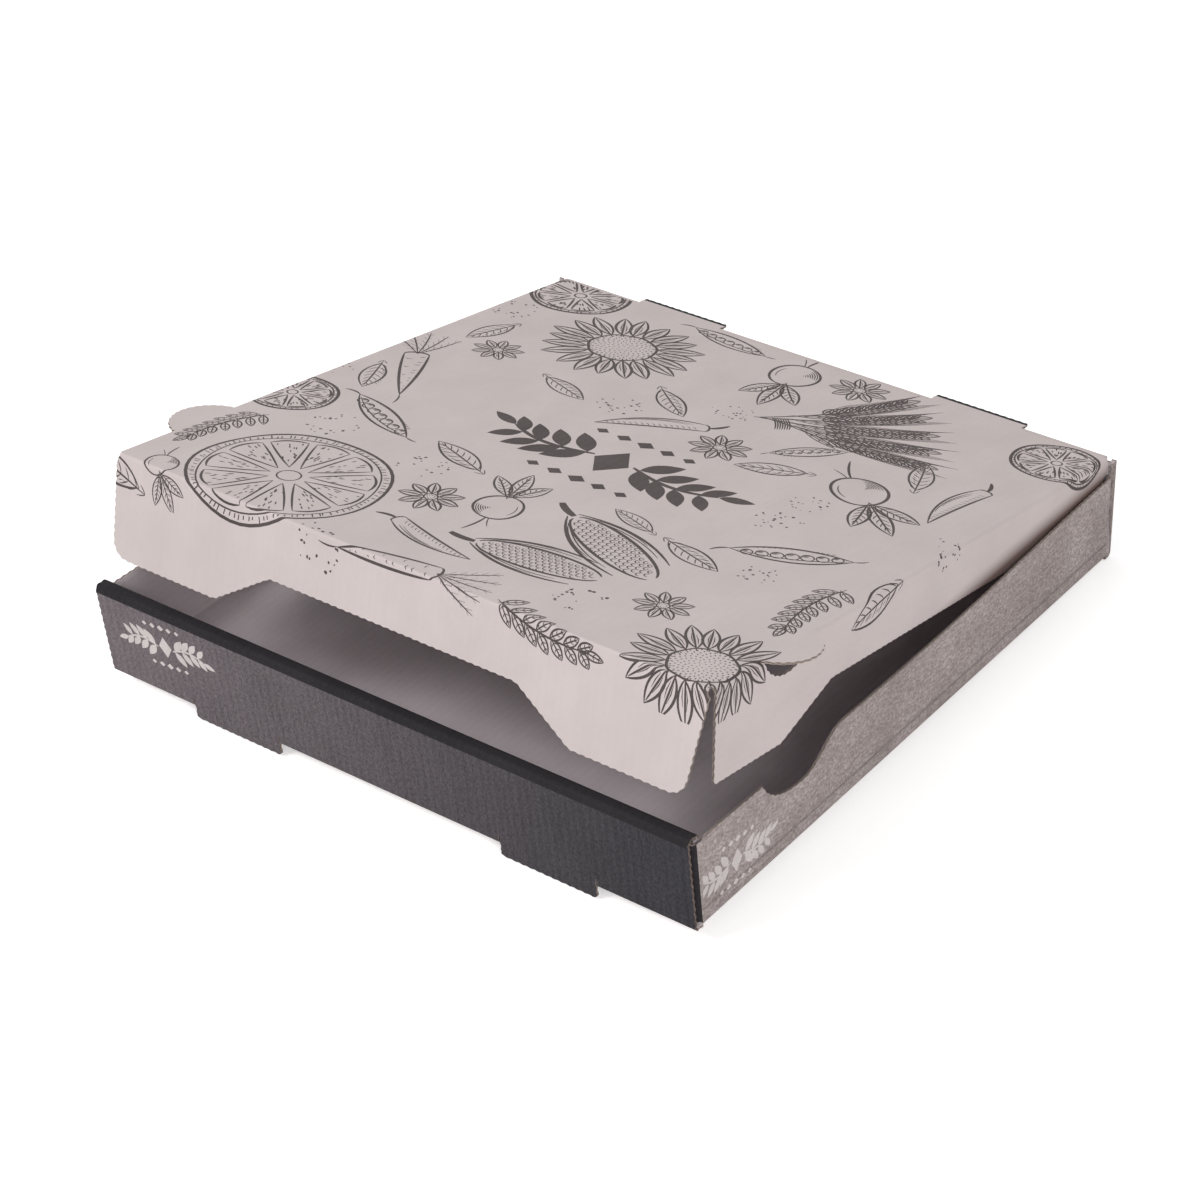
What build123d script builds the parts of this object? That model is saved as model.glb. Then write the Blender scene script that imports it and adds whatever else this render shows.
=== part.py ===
from build123d import *
import os
from math import asin, atan2, cos, degrees, hypot, radians, sin

# A pizza box die-cut from one sheet of corrugated board and folded up, with its lid standing ajar.
# It is folded level first, X across, Y from front to back, with the underside of its floor at zero,
# and is set down on the table at the end.

# The board
board = 1.6
crease_round = 0.4
outside_round = board + crease_round
overrun = 5.0

# Tray, measured outside the board
tray_width = 260.0
tray_depth = 270.0
side_height = 36.0
back_height = 42.7
front_height = 39.3
front_overhang = 3.8
layer_gap = 0.3

# Doubled front wall: its flat top, and its three layers together at the floor
top_strip = 6.2
foot_depth = 3 * board + 2 * layer_gap
inner_panel_inset = 2.5
inner_panel_lift = 0.2

# Corner flaps of the side walls
corner_flap_length = 45.0
corner_flap_height = 33.0
corner_flap_lift = 2.4
corner_flap_taper = 7.0
corner_flap_round = 4.0

# Dip in the top edge of each side wall, measured back from the front wall's foot
dip_start = 37.5
dip_low = 61.0
dip_end = 84.0
dip_depth = 11.5

# Tongues cut out along the front and back creases
tongue_width = 40.5
tongue_spacing = 139.0
tongue_drop = 5.0
tongue_tip_round = 1.3
tongue_root_flare = 2.0
cut_clearance = 0.5
lock_tab_inset = 1.0
lock_tab_lift = 0.3

# Lid
lid_side_clearance = 0.4
lid_reach = 259.4
crease_gap = 0.25
lid_corner_relief = 0.6
side_flap_setback = 6.0
side_flap_rear_slope = 6.0
side_flap_depth = 22.7
side_flap_deep = 36.5
side_flap_deep_length = 43.0
side_flap_slope_run = 28.0
side_flap_round = 5.0
side_flap_tip_round = 1.5

# Half-round ears pushed out of the lid's side flaps
ear_chord = 31.0
ear_reach = 10.3
ear_from_front = 43.9

# Front flap of the lid
flap_depth = 39.5
flap_shallow_depth = 24.0
flap_end_length = 50.0
flap_slope_run = 24.0
flap_corner_round = 7.0
flap_slope_round = 5.0
flap_side_inset = 0.5
flap_shoulder = 2.5

# Angles at rest
lid_open_angle = 9.9
flap_splay_angle = 4.0

half_board = board / 2
front_foot = -tray_depth / 2
back_face = tray_depth / 2
lid_width = tray_width - 2 * board - 2 * lid_side_clearance
hinge_y = back_face - half_board
hinge_z = back_height - half_board
flap_axis_y = hinge_y - lid_reach
mitre_shift = crease_gap * 2 ** 0.5
hinge_line = Axis((0, hinge_y, hinge_z), (1, 0, 0))
flap_line = Axis((0, flap_axis_y, hinge_z), (1, 0, 0))
tongue_places = (-tongue_spacing / 2, tongue_spacing / 2)


def both_sides(piece):
    """The piece and its mirror image on the other side of the box."""
    return piece + mirror(piece, about=Plane.YZ)


def slab(x_range, y_range, z_range):
    """A block between the given limits, for cutting or trimming."""
    size = [high - low for low, high in (x_range, y_range, z_range)]
    middle = [(high + low) / 2 for low, high in (x_range, y_range, z_range)]
    return Pos(*middle) * Box(*size)


def folded_section(corners):
    """Section of the board along its outer face, with every fold turning to the right."""
    outer_face = FilletPolyline(*corners, radius=outside_round)
    return make_face(offset(outer_face, amount=board, side=Side.RIGHT, closed=True))


def strip_across(corners, width):
    """A strip of board folded front to back, as wide as given across the box."""
    return extrude(Plane.YZ * folded_section(corners), amount=width / 2, both=True)


def strip_along(corners, y_from, y_to):
    """A strip of board folded from side to side, running along the box."""
    length = y_to - y_from
    strip = extrude(Plane.XZ * folded_section(corners), amount=length / 2, both=True)
    return Pos(0, (y_from + y_to) / 2, 0) * strip


def prism_across(outline, width):
    """An outline in the side view, given depth across the box."""
    return extrude(Plane.YZ * outline, amount=width / 2, both=True)


def tongue_outline(rise, drop, width):
    """A tongue hanging below its crease: flared at its root and rounded at its tip."""
    half = width / 2
    flare = tongue_root_flare
    corners = [(half + flare, rise), (half + flare, 0), (half, 0), (half, -drop)]
    corners += [(-x, y) for x, y in reversed(corners)]
    rounds = [crease_round, flare - crease_round, tongue_tip_round]
    rounds = [rounds[0]] + rounds + rounds[::-1] + [rounds[0]]
    return make_face(FilletPolyline(*corners, radius=rounds, close=True))


def front_wall():
    """Outer panel, flat top and inner panel of the doubled front wall, folded in one."""
    top_front = front_foot - front_overhang
    top_back = top_front + top_strip
    floor_end = front_foot + board + layer_gap + outside_round
    middle = (top_front + top_back) / 2
    outer = strip_across(
        [(floor_end, 0), (front_foot, 0), (top_front, front_height), (middle, front_height)],
        tray_width,
    )
    inner_foot = front_foot + foot_depth
    inner = strip_across(
        [(middle, front_height), (top_back, front_height), (inner_foot, board + inner_panel_lift)],
        tray_width - 2 * inner_panel_inset,
    )
    return outer + inner


def back_wall():
    """Back wall, with its top edge bevelled both ways under the lid's crease."""
    floor_end = back_face - board - layer_gap - outside_round
    wall = strip_across([(back_face, back_height), (back_face, 0), (floor_end, 0)], tray_width)
    reach = 2 * board
    roof = Polygon(
        (0, -mitre_shift),
        (reach, -mitre_shift - reach),
        (reach, reach),
        (-reach, reach),
        (-reach, -mitre_shift - reach),
        align=None,
    )
    crease_space = roof + Circle(half_board + crease_gap)
    groove = prism_across(Pos(hinge_y, hinge_z) * crease_space, lid_width + 2 * lid_side_clearance)
    return wall - groove


def side_walls():
    """Floor and both side walls, with the dip in each top edge."""
    start = front_foot + board + layer_gap + outside_round
    end = back_face - board - layer_gap - outside_round
    half = tray_width / 2
    walls = strip_along([(half, side_height), (half, 0), (-half, 0), (-half, side_height)], start, end)
    low = side_height - dip_depth
    near = front_foot + dip_start
    bottom = front_foot + dip_low
    far = front_foot + dip_end
    handle_shares = [0.23, 0.4, 0.43]
    fall = near + handle_shares[0] * (bottom - near)
    leave = bottom + handle_shares[1] * (far - bottom)
    arrive = far - handle_shares[2] * (far - bottom)
    edge = [
        Bezier((near, side_height), (fall, low), (bottom, low)),
        Bezier((bottom, low), (leave, low), (arrive, side_height), (far, side_height)),
        Polyline(
            (far, side_height),
            (far, side_height + overrun),
            (near, side_height + overrun),
            (near, side_height),
        ),
    ]
    return walls - prism_across(make_face(edge), tray_width + overrun)


def corner_flap_trim(height):
    """Front view of one corner flap and the wall it hangs on, tapered at the free end."""
    wall_face = tray_width / 2
    free_end = wall_face - corner_flap_length
    fold = wall_face - outside_round
    flap = FilletPolyline(
        (wall_face + overrun, corner_flap_lift),
        (free_end, corner_flap_lift + corner_flap_taper),
        (free_end, height - corner_flap_taper),
        (fold, height),
        (wall_face + overrun, height),
        radius=[corner_flap_round, corner_flap_round, 0, 0, 0],
        close=True,
    )
    wall = Polyline(
        (fold, corner_flap_lift),
        (wall_face + overrun, corner_flap_lift),
        (wall_face + overrun, side_height),
        (fold, side_height),
        close=True,
    )
    return make_face(flap) + make_face(wall)


def corner_flap(fold_y, wall_end_y, lean_back):
    """One corner flap with the fold that joins it to its side wall, upright or leaning forward."""
    wall_face = tray_width / 2
    free_end = (wall_face - corner_flap_length - overrun, fold_y)
    corners = [(wall_face, wall_end_y), (wall_face, fold_y), free_end]
    if wall_end_y < fold_y:
        corners.reverse()
    section = Plane.XY.offset(corner_flap_lift) * folded_section(corners)
    rise = side_height - corner_flap_lift
    lean = radians(lean_back)
    blank = extrude(section, amount=rise / cos(lean), dir=(0, -sin(lean), cos(lean)))
    trim = extrude(Plane.XZ * corner_flap_trim(corner_flap_height), amount=tray_depth, both=True)
    return blank & trim


def front_corner_flaps():
    """Corner flaps caught between the two layers of the front wall, leaning with them."""
    foot = front_foot + foot_depth / 2 - half_board
    top = front_foot - front_overhang + top_strip / 2 - half_board
    lean = atan2(foot - top, front_height)
    at_lift = foot - corner_flap_lift * sin(lean) / cos(lean)
    wall_end = front_foot + board + layer_gap + 3 * outside_round + front_overhang
    return both_sides(corner_flap(at_lift, wall_end, degrees(lean)))


def back_corner_flaps():
    """Corner flaps that lie against the inside of the back wall."""
    fold = back_face - board - layer_gap
    return both_sides(corner_flap(fold, fold - 2 * outside_round, 0))


def front_lean():
    """How far the front wall leans out, in degrees."""
    return degrees(atan2(front_overhang, front_height))


def tray():
    body = side_walls() + front_wall() + back_wall()
    slot_back = front_foot + foot_depth + cut_clearance
    reach = tongue_width / 2 + cut_clearance
    crease_top = outside_round + crease_round / 2
    for x in tongue_places:
        slot = slab(
            (x - reach, x + reach),
            (front_foot - overrun, slot_back),
            (-overrun, crease_top),
        )
        body -= slot

    # Tongues left standing in the plane of the front wall when it was folded up from the floor.
    lean = radians(front_lean())
    wall_plane = Plane((0, front_foot, 0), x_dir=(1, 0, 0), z_dir=(0, -cos(lean), -sin(lean)))
    outline = tongue_outline(2 * outside_round, tongue_drop, tongue_width)
    tongue = extrude(wall_plane * outline, amount=-board)

    # Tabs of the inner panel, which drop into the slots that the tongues leave.
    fall = foot_depth + front_overhang - top_strip
    slope = atan2(fall, front_height)
    panel_plane = Plane(
        (0, front_foot + foot_depth, 0), x_dir=(-1, 0, 0), z_dir=(0, cos(slope), sin(slope))
    )
    tab_rise = 2 * outside_round
    tab_width = tongue_width - 2 * lock_tab_inset
    tab = Pos(0, (tab_rise + lock_tab_lift) / 2) * Rectangle(tab_width, tab_rise - lock_tab_lift)
    lock_tab = extrude(panel_plane * tab, amount=-board)
    for x in tongue_places:
        body += Pos(x, 0, 0) * (tongue + lock_tab)

    body += front_corner_flaps() + back_corner_flaps()

    # Windows that the lid's tongues leave in the top of the back wall.
    sweep = hypot(tongue_drop + half_board, half_board) + cut_clearance
    for x in tongue_places:
        body -= slab(
            (x - reach, x + reach),
            (back_face - board - overrun, back_face + overrun),
            (hinge_z - sweep, back_height + overrun),
        )
    return body


def side_flap_outline():
    """Side view of the lid's side flap: deep at the front, shallow behind a sloping step."""
    top = back_height
    front = flap_axis_y + half_board + lid_corner_relief
    deep_end = front + side_flap_deep_length
    shallow_start = deep_end + side_flap_slope_run
    back = hinge_y - side_flap_setback
    shallow = top - side_flap_depth
    deep = top - side_flap_deep
    return FilletPolyline(
        (front, top + overrun),
        (front, deep),
        (deep_end, deep),
        (shallow_start, shallow),
        (back - side_flap_rear_slope, shallow),
        (back, top - outside_round),
        (back, top + overrun),
        radius=[0, side_flap_tip_round, side_flap_round, side_flap_round, side_flap_round, 0, 0],
        close=True,
    )


def ear_outline():
    """Half-round of the ears: a segment of a circle on its chord, bulging towards +Y."""
    half_chord = ear_chord / 2
    arc = ThreePointArc((-half_chord, 0), (0, ear_reach), (half_chord, 0))
    return make_face([arc, Line((half_chord, 0), (-half_chord, 0))])


def lid_level():
    """Lid with its side flaps, ears and back tongues, lying closed."""
    half = lid_width / 2
    top = back_height
    deepest = top - side_flap_deep - overrun
    start = flap_axis_y + half_board + lid_corner_relief
    corners = [(-half, deepest), (-half, top), (half, top), (half, deepest)]
    folded = strip_along(corners, start, hinge_y - side_flap_setback)
    folded &= prism_across(make_face(side_flap_outline()), tray_width)

    # The flat panel, bevelled at both ends where it meets the back wall and the front flap.
    end = flap_axis_y
    panel = make_face(
        Polyline(
            (hinge_y, hinge_z),
            (hinge_y - half_board, hinge_z + half_board),
            (end, hinge_z + half_board),
            (end, hinge_z),
            (end + mitre_shift, hinge_z),
            (end + mitre_shift + half_board, hinge_z - half_board),
            (hinge_y - half_board, hinge_z - half_board),
            close=True,
        )
    )
    panel -= Pos(end, hinge_z) * Circle(half_board + crease_gap)
    panel += Pos(hinge_y, hinge_z) * Circle(half_board)
    body = prism_across(panel, lid_width - 2 * outside_round) + folded

    # Ears: each is cut free of its side flap on a half-round line and stays level with the lid.
    ear_y = flap_axis_y - half_board + ear_from_front
    fold = half - outside_round
    hole = Plane((fold, ear_y, top), x_dir=(0, 1, 0), z_dir=(-1, 0, 0)) * ear_outline()
    roof = slab(
        (fold, half + overrun),
        (ear_y - ear_chord / 2, ear_y + ear_chord / 2),
        (top - outside_round, top + overrun),
    )
    body -= both_sides(extrude(hole, amount=-2 * overrun) + roof)
    ear_face = Plane((fold, ear_y, top), x_dir=(0, -1, 0), z_dir=(0, 0, 1))
    root = Pos(0, outside_round / 2) * Rectangle(ear_chord, outside_round)
    ear = root + Pos(0, outside_round) * ear_outline()
    body += both_sides(extrude(ear_face * ear, amount=-board))

    # Tongues that stay level with the lid and stick out behind its crease.
    root_rise = 2 * outside_round
    outline = tongue_outline(root_rise, tongue_drop + half_board, tongue_width)
    crease_plane = Plane((0, hinge_y, top), x_dir=(-1, 0, 0), z_dir=(0, 0, 1))
    inside_cut = Rectangle(tongue_width, 3 * board + 2 * tongue_drop)
    narrow = outline & inside_cut
    tongue = extrude(crease_plane * narrow, amount=-board)
    for x in tongue_places:
        body += Pos(x, 0, 0) * tongue
    return body


def front_flap_level():
    """Front flap hanging square from the closed lid: deep at both ends, shallow between."""
    half = lid_width / 2 - flap_side_inset
    shoulder = lid_width / 2 - outside_round
    deep_to = half - flap_end_length
    shallow_to = deep_to - flap_slope_run
    depth = flap_depth - half_board
    shallow = flap_shallow_depth - half_board
    right = [
        (shoulder, 0),
        (half, -flap_shoulder),
        (half, -depth),
        (deep_to, -depth),
        (shallow_to, -shallow),
    ]
    left = [(-x, z) for x, z in reversed(right)]
    rounds = [0, 0, flap_corner_round, flap_slope_round, flap_slope_round]
    outline = FilletPolyline(*right, *left, radius=rounds + rounds[::-1], close=True)
    front_view = Plane((0, flap_axis_y, hinge_z), x_dir=(1, 0, 0), z_dir=(0, -1, 0))
    panel = extrude(front_view * make_face(outline), amount=half_board, both=True)
    bevel = prism_across(
        Pos(flap_axis_y, hinge_z)
        * Polygon((0, 0), (board, 0), (board, -board), align=None),
        tray_width,
    )
    fold = prism_across(Pos(flap_axis_y, hinge_z) * Circle(half_board), 2 * shoulder)
    return panel - bevel + fold


def rest_tilt():
    """Tilt of the whole box as it stands on its front tongues and its back edge, in degrees."""
    lean = radians(front_lean())
    tip_y = front_foot + tongue_drop * sin(lean)
    tip_z = -tongue_drop * cos(lean)
    back_y = back_face - outside_round
    run = back_y - tip_y
    rise = outside_round - tip_z
    return degrees(atan2(rise, run) - asin(outside_round / hypot(run, rise)))


def main():
    lid_turn = -lid_open_angle
    lid = lid_level().rotate(hinge_line, lid_turn)
    flap = front_flap_level().rotate(flap_line, -flap_splay_angle).rotate(hinge_line, lid_turn)

    tilt = rest_tilt()
    back_y = back_face - outside_round
    drop = outside_round * cos(radians(tilt)) - back_y * sin(radians(tilt)) - outside_round
    set_down = Pos(0, 0, -drop) * Rot(-tilt, 0, 0)

    os.makedirs("parts", exist_ok=True)
    for name, piece in {"tray": tray(), "lid": lid, "lid_front_flap": flap}.items():
        export_step(set_down * piece, f"parts/{name}.step")


main()
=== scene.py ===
import bpy, bmesh, math, random
from mathutils import Vector, Matrix
from mathutils.geometry import delaunay_2d_cdt


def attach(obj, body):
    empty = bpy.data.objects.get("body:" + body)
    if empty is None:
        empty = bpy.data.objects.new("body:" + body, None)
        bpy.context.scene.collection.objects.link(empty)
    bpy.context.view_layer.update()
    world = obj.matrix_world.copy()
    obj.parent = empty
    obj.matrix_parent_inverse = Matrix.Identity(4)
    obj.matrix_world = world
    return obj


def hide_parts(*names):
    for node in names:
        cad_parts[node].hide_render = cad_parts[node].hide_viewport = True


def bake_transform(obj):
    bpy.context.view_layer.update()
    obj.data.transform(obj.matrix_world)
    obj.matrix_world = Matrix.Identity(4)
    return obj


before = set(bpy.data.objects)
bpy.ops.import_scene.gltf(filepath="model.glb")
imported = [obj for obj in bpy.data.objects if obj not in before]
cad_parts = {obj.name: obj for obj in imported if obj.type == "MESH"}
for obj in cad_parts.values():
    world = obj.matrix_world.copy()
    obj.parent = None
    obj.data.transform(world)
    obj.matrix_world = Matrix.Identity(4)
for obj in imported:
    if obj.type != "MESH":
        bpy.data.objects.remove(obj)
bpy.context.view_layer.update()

mm = 0.001

# Everything is laid out in millimetres on the level, closed box, then folded open and set down.
boardSheet = {
    "thickness": 1.6, "creaseRound": 0.4, "flutePitch": 3.27, "cutWave": 0.42, "waveStep": 0.8,
    "gridStep": 9.0, "gridClear": 0.35, "crushedTo": 0.55, "crushReach": 1.5, "ringClear": 0.8,
    "lineHalf": 140.0, "weld": 2e-6, "sharpFrom": 32.0,
}
boxSize = {
    "trayWidth": 260.0, "trayDepth": 270.0, "sideHeight": 36.0, "backHeight": 42.7, "frontHeight": 39.3,
    "frontOverhang": 3.8, "layerGap": 0.3, "topStrip": 6.2, "lidWidth": 256.0, "lidReach": 259.4,
    "lidOpen": 9.9, "flapSplay": 4.0, "tilt": 1.0657057664996772, "lift": 2.4740132204694465,
}
nearly = 0.01      # slack when a place is compared with a cut or a crease
thick = boardSheet["thickness"]
outerRound = thick + boardSheet["creaseRound"]
halfThick = thick / 2
quarterBend = outerRound * math.pi / 2
frontFoot = -boxSize["trayDepth"] / 2
backFace = boxSize["trayDepth"] / 2
hingeY = backFace - halfThick
hingeZ = boxSize["backHeight"] - halfThick
flapAxisY = hingeY - boxSize["lidReach"]
tongueCentres = (-69.5, 69.5)
foldStart = boxSize["lidWidth"] / 2 - outerRound


def turned(point, axisY, axisZ, degrees):
    a = math.radians(degrees)
    y, z = point[1] - axisY, point[2] - axisZ
    return (point[0], axisY + y * math.cos(a) - z * math.sin(a), axisZ + y * math.sin(a) + z * math.cos(a))


def onTray(point):
    t = math.radians(boxSize["tilt"])
    x, y, z = point
    y, z = y * math.cos(t) + z * math.sin(t), z * math.cos(t) - y * math.sin(t)
    return Vector((x, y, z + boxSize["lift"])) * mm


def onLid(point):
    return onTray(turned(point, hingeY, hingeZ, -boxSize["lidOpen"]))


def onFlap(point):
    return onLid(turned(point, flapAxisY, hingeZ, -boxSize["flapSplay"]))


# Folding: a path is a list of straight runs and right-hand bends along the board's outer face.
def foldPath(corners):
    points = [Vector(c) for c in corners]
    path, at, length = [], points[0], 0.0
    for i in range(1, len(points)):
        heading = (points[i] - points[i - 1]).normalized()
        turn, cut = 0.0, 0.0
        if i < len(points) - 1:
            onward = (points[i + 1] - points[i]).normalized()
            turn = heading.angle(onward)
            cut = outerRound * math.tan(turn / 2)
        end = points[i] - heading * cut
        path.append(("run", length, at, heading))
        length += (end - at).length
        at = end
        if turn > 1e-4:
            right = Vector((heading.y, -heading.x))
            path.append(("bend", length, end + right * outerRound, -right))
            length += outerRound * turn
            at = points[i] + onward * cut
    return path, length


def alongPath(path, s, w, only=None):
    if only is None:
        only = max((i for i, piece in enumerate(path) if piece[1] <= s + 1e-9), default=0)
    kind, start, origin, direction = path[only]
    if kind == "run":
        return origin + direction * (s - start) + Vector((direction.y, -direction.x)) * w
    a = -(s - start) / outerRound
    spoke = Vector((direction.x * math.cos(a) - direction.y * math.sin(a),
                    direction.x * math.sin(a) + direction.y * math.cos(a)))
    return origin + spoke * (outerRound - w)


def bendLines(path, steps=4):
    lines = []
    for i, piece in enumerate(path):
        if piece[0] == "bend":
            end = path[i + 1][1]
            lines += [piece[1] + (end - piece[1]) * k / steps for k in range(steps + 1)]
    return lines


def linesAlong(places):
    # creases and borders of a finish, drawn longer than any panel
    half = boardSheet["lineHalf"]
    return [((x, -half), (x, half)) for x in places]


def linesAcross(places):
    return [(a[::-1], b[::-1]) for a, b in linesAlong(places)]


def touches(a, b):
    return abs(a - b) < nearly / 2


def overTongue(x, half):
    return any(abs(x - c) < half for c in tongueCentres)


def stepsAt(centres, half, near, far):
    return [(c + way * half, y) for c in centres for way, y in ((-1, near), (-1, far), (1, far), (1, near))]


def otherSide(corners):
    return [(-c[0],) + tuple(c[1:]) for c in reversed(corners)]


def area(points):
    return sum(a[0] * b[1] - b[0] * a[1] for a, b in zip(points, points[1:] + points[:1])) / 2


def counterclockwise(points):
    return points if area(points) > 0 else points[::-1]


def rounded(corners, steps=5):
    # corners are (x, y) or (x, y, radius)
    out, n = [], len(corners)
    for i in range(n):
        here = Vector(corners[i][:2])
        r = corners[i][2] if len(corners[i]) > 2 else 0
        if r <= 0:
            out.append(tuple(here))
            continue
        before, after = Vector(corners[i - 1][:2]), Vector(corners[(i + 1) % n][:2])
        a, b = (before - here).normalized(), (after - here).normalized()
        half = a.angle(b) / 2
        reach = r / math.tan(half)
        centre = here + (a + b).normalized() * (r / math.sin(half))
        p, q = here + a * reach - centre, here + b * reach - centre
        sweep = p.angle_signed(q)
        for k in range(steps + 1):
            t = -sweep * k / steps
            out.append((centre.x + p.x * math.cos(t) - p.y * math.sin(t),
                        centre.y + p.x * math.sin(t) + p.y * math.cos(t)))
    return out


def wavyCut(points, keep):
    # The die leaves a fine wave along each cut edge; edges for which keep() is true stay straight.
    points = counterclockwise(list(points))
    n, out, run = len(points), [], 0.0
    plain = [keep((points[i][0] + points[(i + 1) % n][0]) / 2, (points[i][1] + points[(i + 1) % n][1]) / 2)
             for i in range(n)]
    for i in range(n):
        p, q = Vector(points[i]), Vector(points[(i + 1) % n])
        length = (q - p).length
        if length < 1e-6:
            continue
        if plain[i] or plain[i - 1]:
            out.append(tuple(p))
        if plain[i]:
            continue
        inward = Vector((-(q - p).y, (q - p).x)) / length
        steps = max(1, round(length / boardSheet["waveStep"]))
        for k in range(1 if plain[i - 1] else 0, steps):
            at = run + length * k / steps
            dip = boardSheet["cutWave"] * (0.5 - 0.5 * math.cos(2 * math.pi * at / boardSheet["flutePitch"]))
            point = p.lerp(q, k / steps) + inward * dip
            out.append(tuple(point))
        run += length
    return out


def triangulated(loops, holeCount, lines, grid):
    # loops: the outline, its holes, then the printed shapes
    points, faces, edges = [], [], []
    for loop in loops:
        start = len(points)
        points += [Vector(p) for p in loop]
        faces.append(list(range(start, len(points))))
    for a, b in lines:
        edges.append((len(points), len(points) + 1))
        points += [Vector(a), Vector(b)]
    points += [Vector(p) for p in grid]
    verts, _, tris, _, _, owners = delaunay_2d_cdt(points, edges, faces, 1, 1e-4)
    holeIds = range(1, 1 + holeCount)
    return verts, [(t, o) for t, o in zip(tris, owners) if 0 in o and not any(h in o for h in holeIds)]


def borderLoops(tris):
    step = {}
    directed = {(t[i], t[(i + 1) % 3]) for t in tris for i in range(3)}
    for a, b in directed:
        if (b, a) not in directed:
            step.setdefault(a, []).append(b)
    loops = []
    while step:
        start = next(iter(step))
        loop, at = [start], step[start].pop()
        if not step[start]:
            del step[start]
        while at != start:
            loop.append(at)
            onward = step[at].pop()
            if not step[at]:
                del step[at]
            at = onward
        loops.append(loop)
    return loops


def gridInside(outline):
    xs, ys = [p[0] for p in outline], [p[1] for p in outline]
    step, clear = boardSheet["gridStep"], []
    nx, ny = int((max(xs) - min(xs)) / step), int((max(ys) - min(ys)) / step)
    for i in range(1, nx):
        for j in range(1, ny):
            x = min(xs) + (max(xs) - min(xs)) * i / nx
            y = min(ys) + (max(ys) - min(ys)) * j / ny
            if all(abs(x - p[0]) + abs(y - p[1]) > step * boardSheet["gridClear"] for p in outline):
                clear.append((x, y))
    return clear


def ringInside(loops):
    # points set in from every border, where the board is back to its full thickness
    reach = boardSheet["crushReach"]
    apart = (reach * boardSheet["ringClear"]) ** 2
    cells = {}
    for loop in loops:
        for p in loop:
            cells.setdefault((round(p[0] / reach), round(p[1] / reach)), []).append(p)
    ring = []
    for loop in loops:
        for i in range(0, len(loop), 2):
            a, b, c = Vector(loop[i - 1]), Vector(loop[i]), Vector(loop[(i + 1) % len(loop)])
            along = (c - a).normalized()
            q = b + Vector((-along.y, along.x)) * reach
            home = (round(q.x / reach), round(q.y / reach))
            around = [(home[0] + dx, home[1] + dy) for dx in (-1, 0, 1) for dy in (-1, 0, 1)]
            near = [p for cell in around for p in cells.get(cell, [])]
            if all((q.x - p[0]) ** 2 + (q.y - p[1]) ** 2 > apart for p in near):
                ring.append(tuple(q))
    return ring


def spot(v):      # a key for finding the same place again
    return (round(v[0], 4), round(v[1], 4))


def linked(name, data):
    made = bpy.data.objects.new(name, data)
    bpy.context.scene.collection.objects.link(made)
    return made


def meshPiece(name, mesh):
    for face in mesh.faces:
        face.smooth = True
    data = bpy.data.meshes.new(name)
    mesh.to_mesh(data)
    mesh.free()
    data.set_sharp_from_angle(angle=math.radians(boardSheet["sharpFrom"]))
    return linked(name, data)


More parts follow.
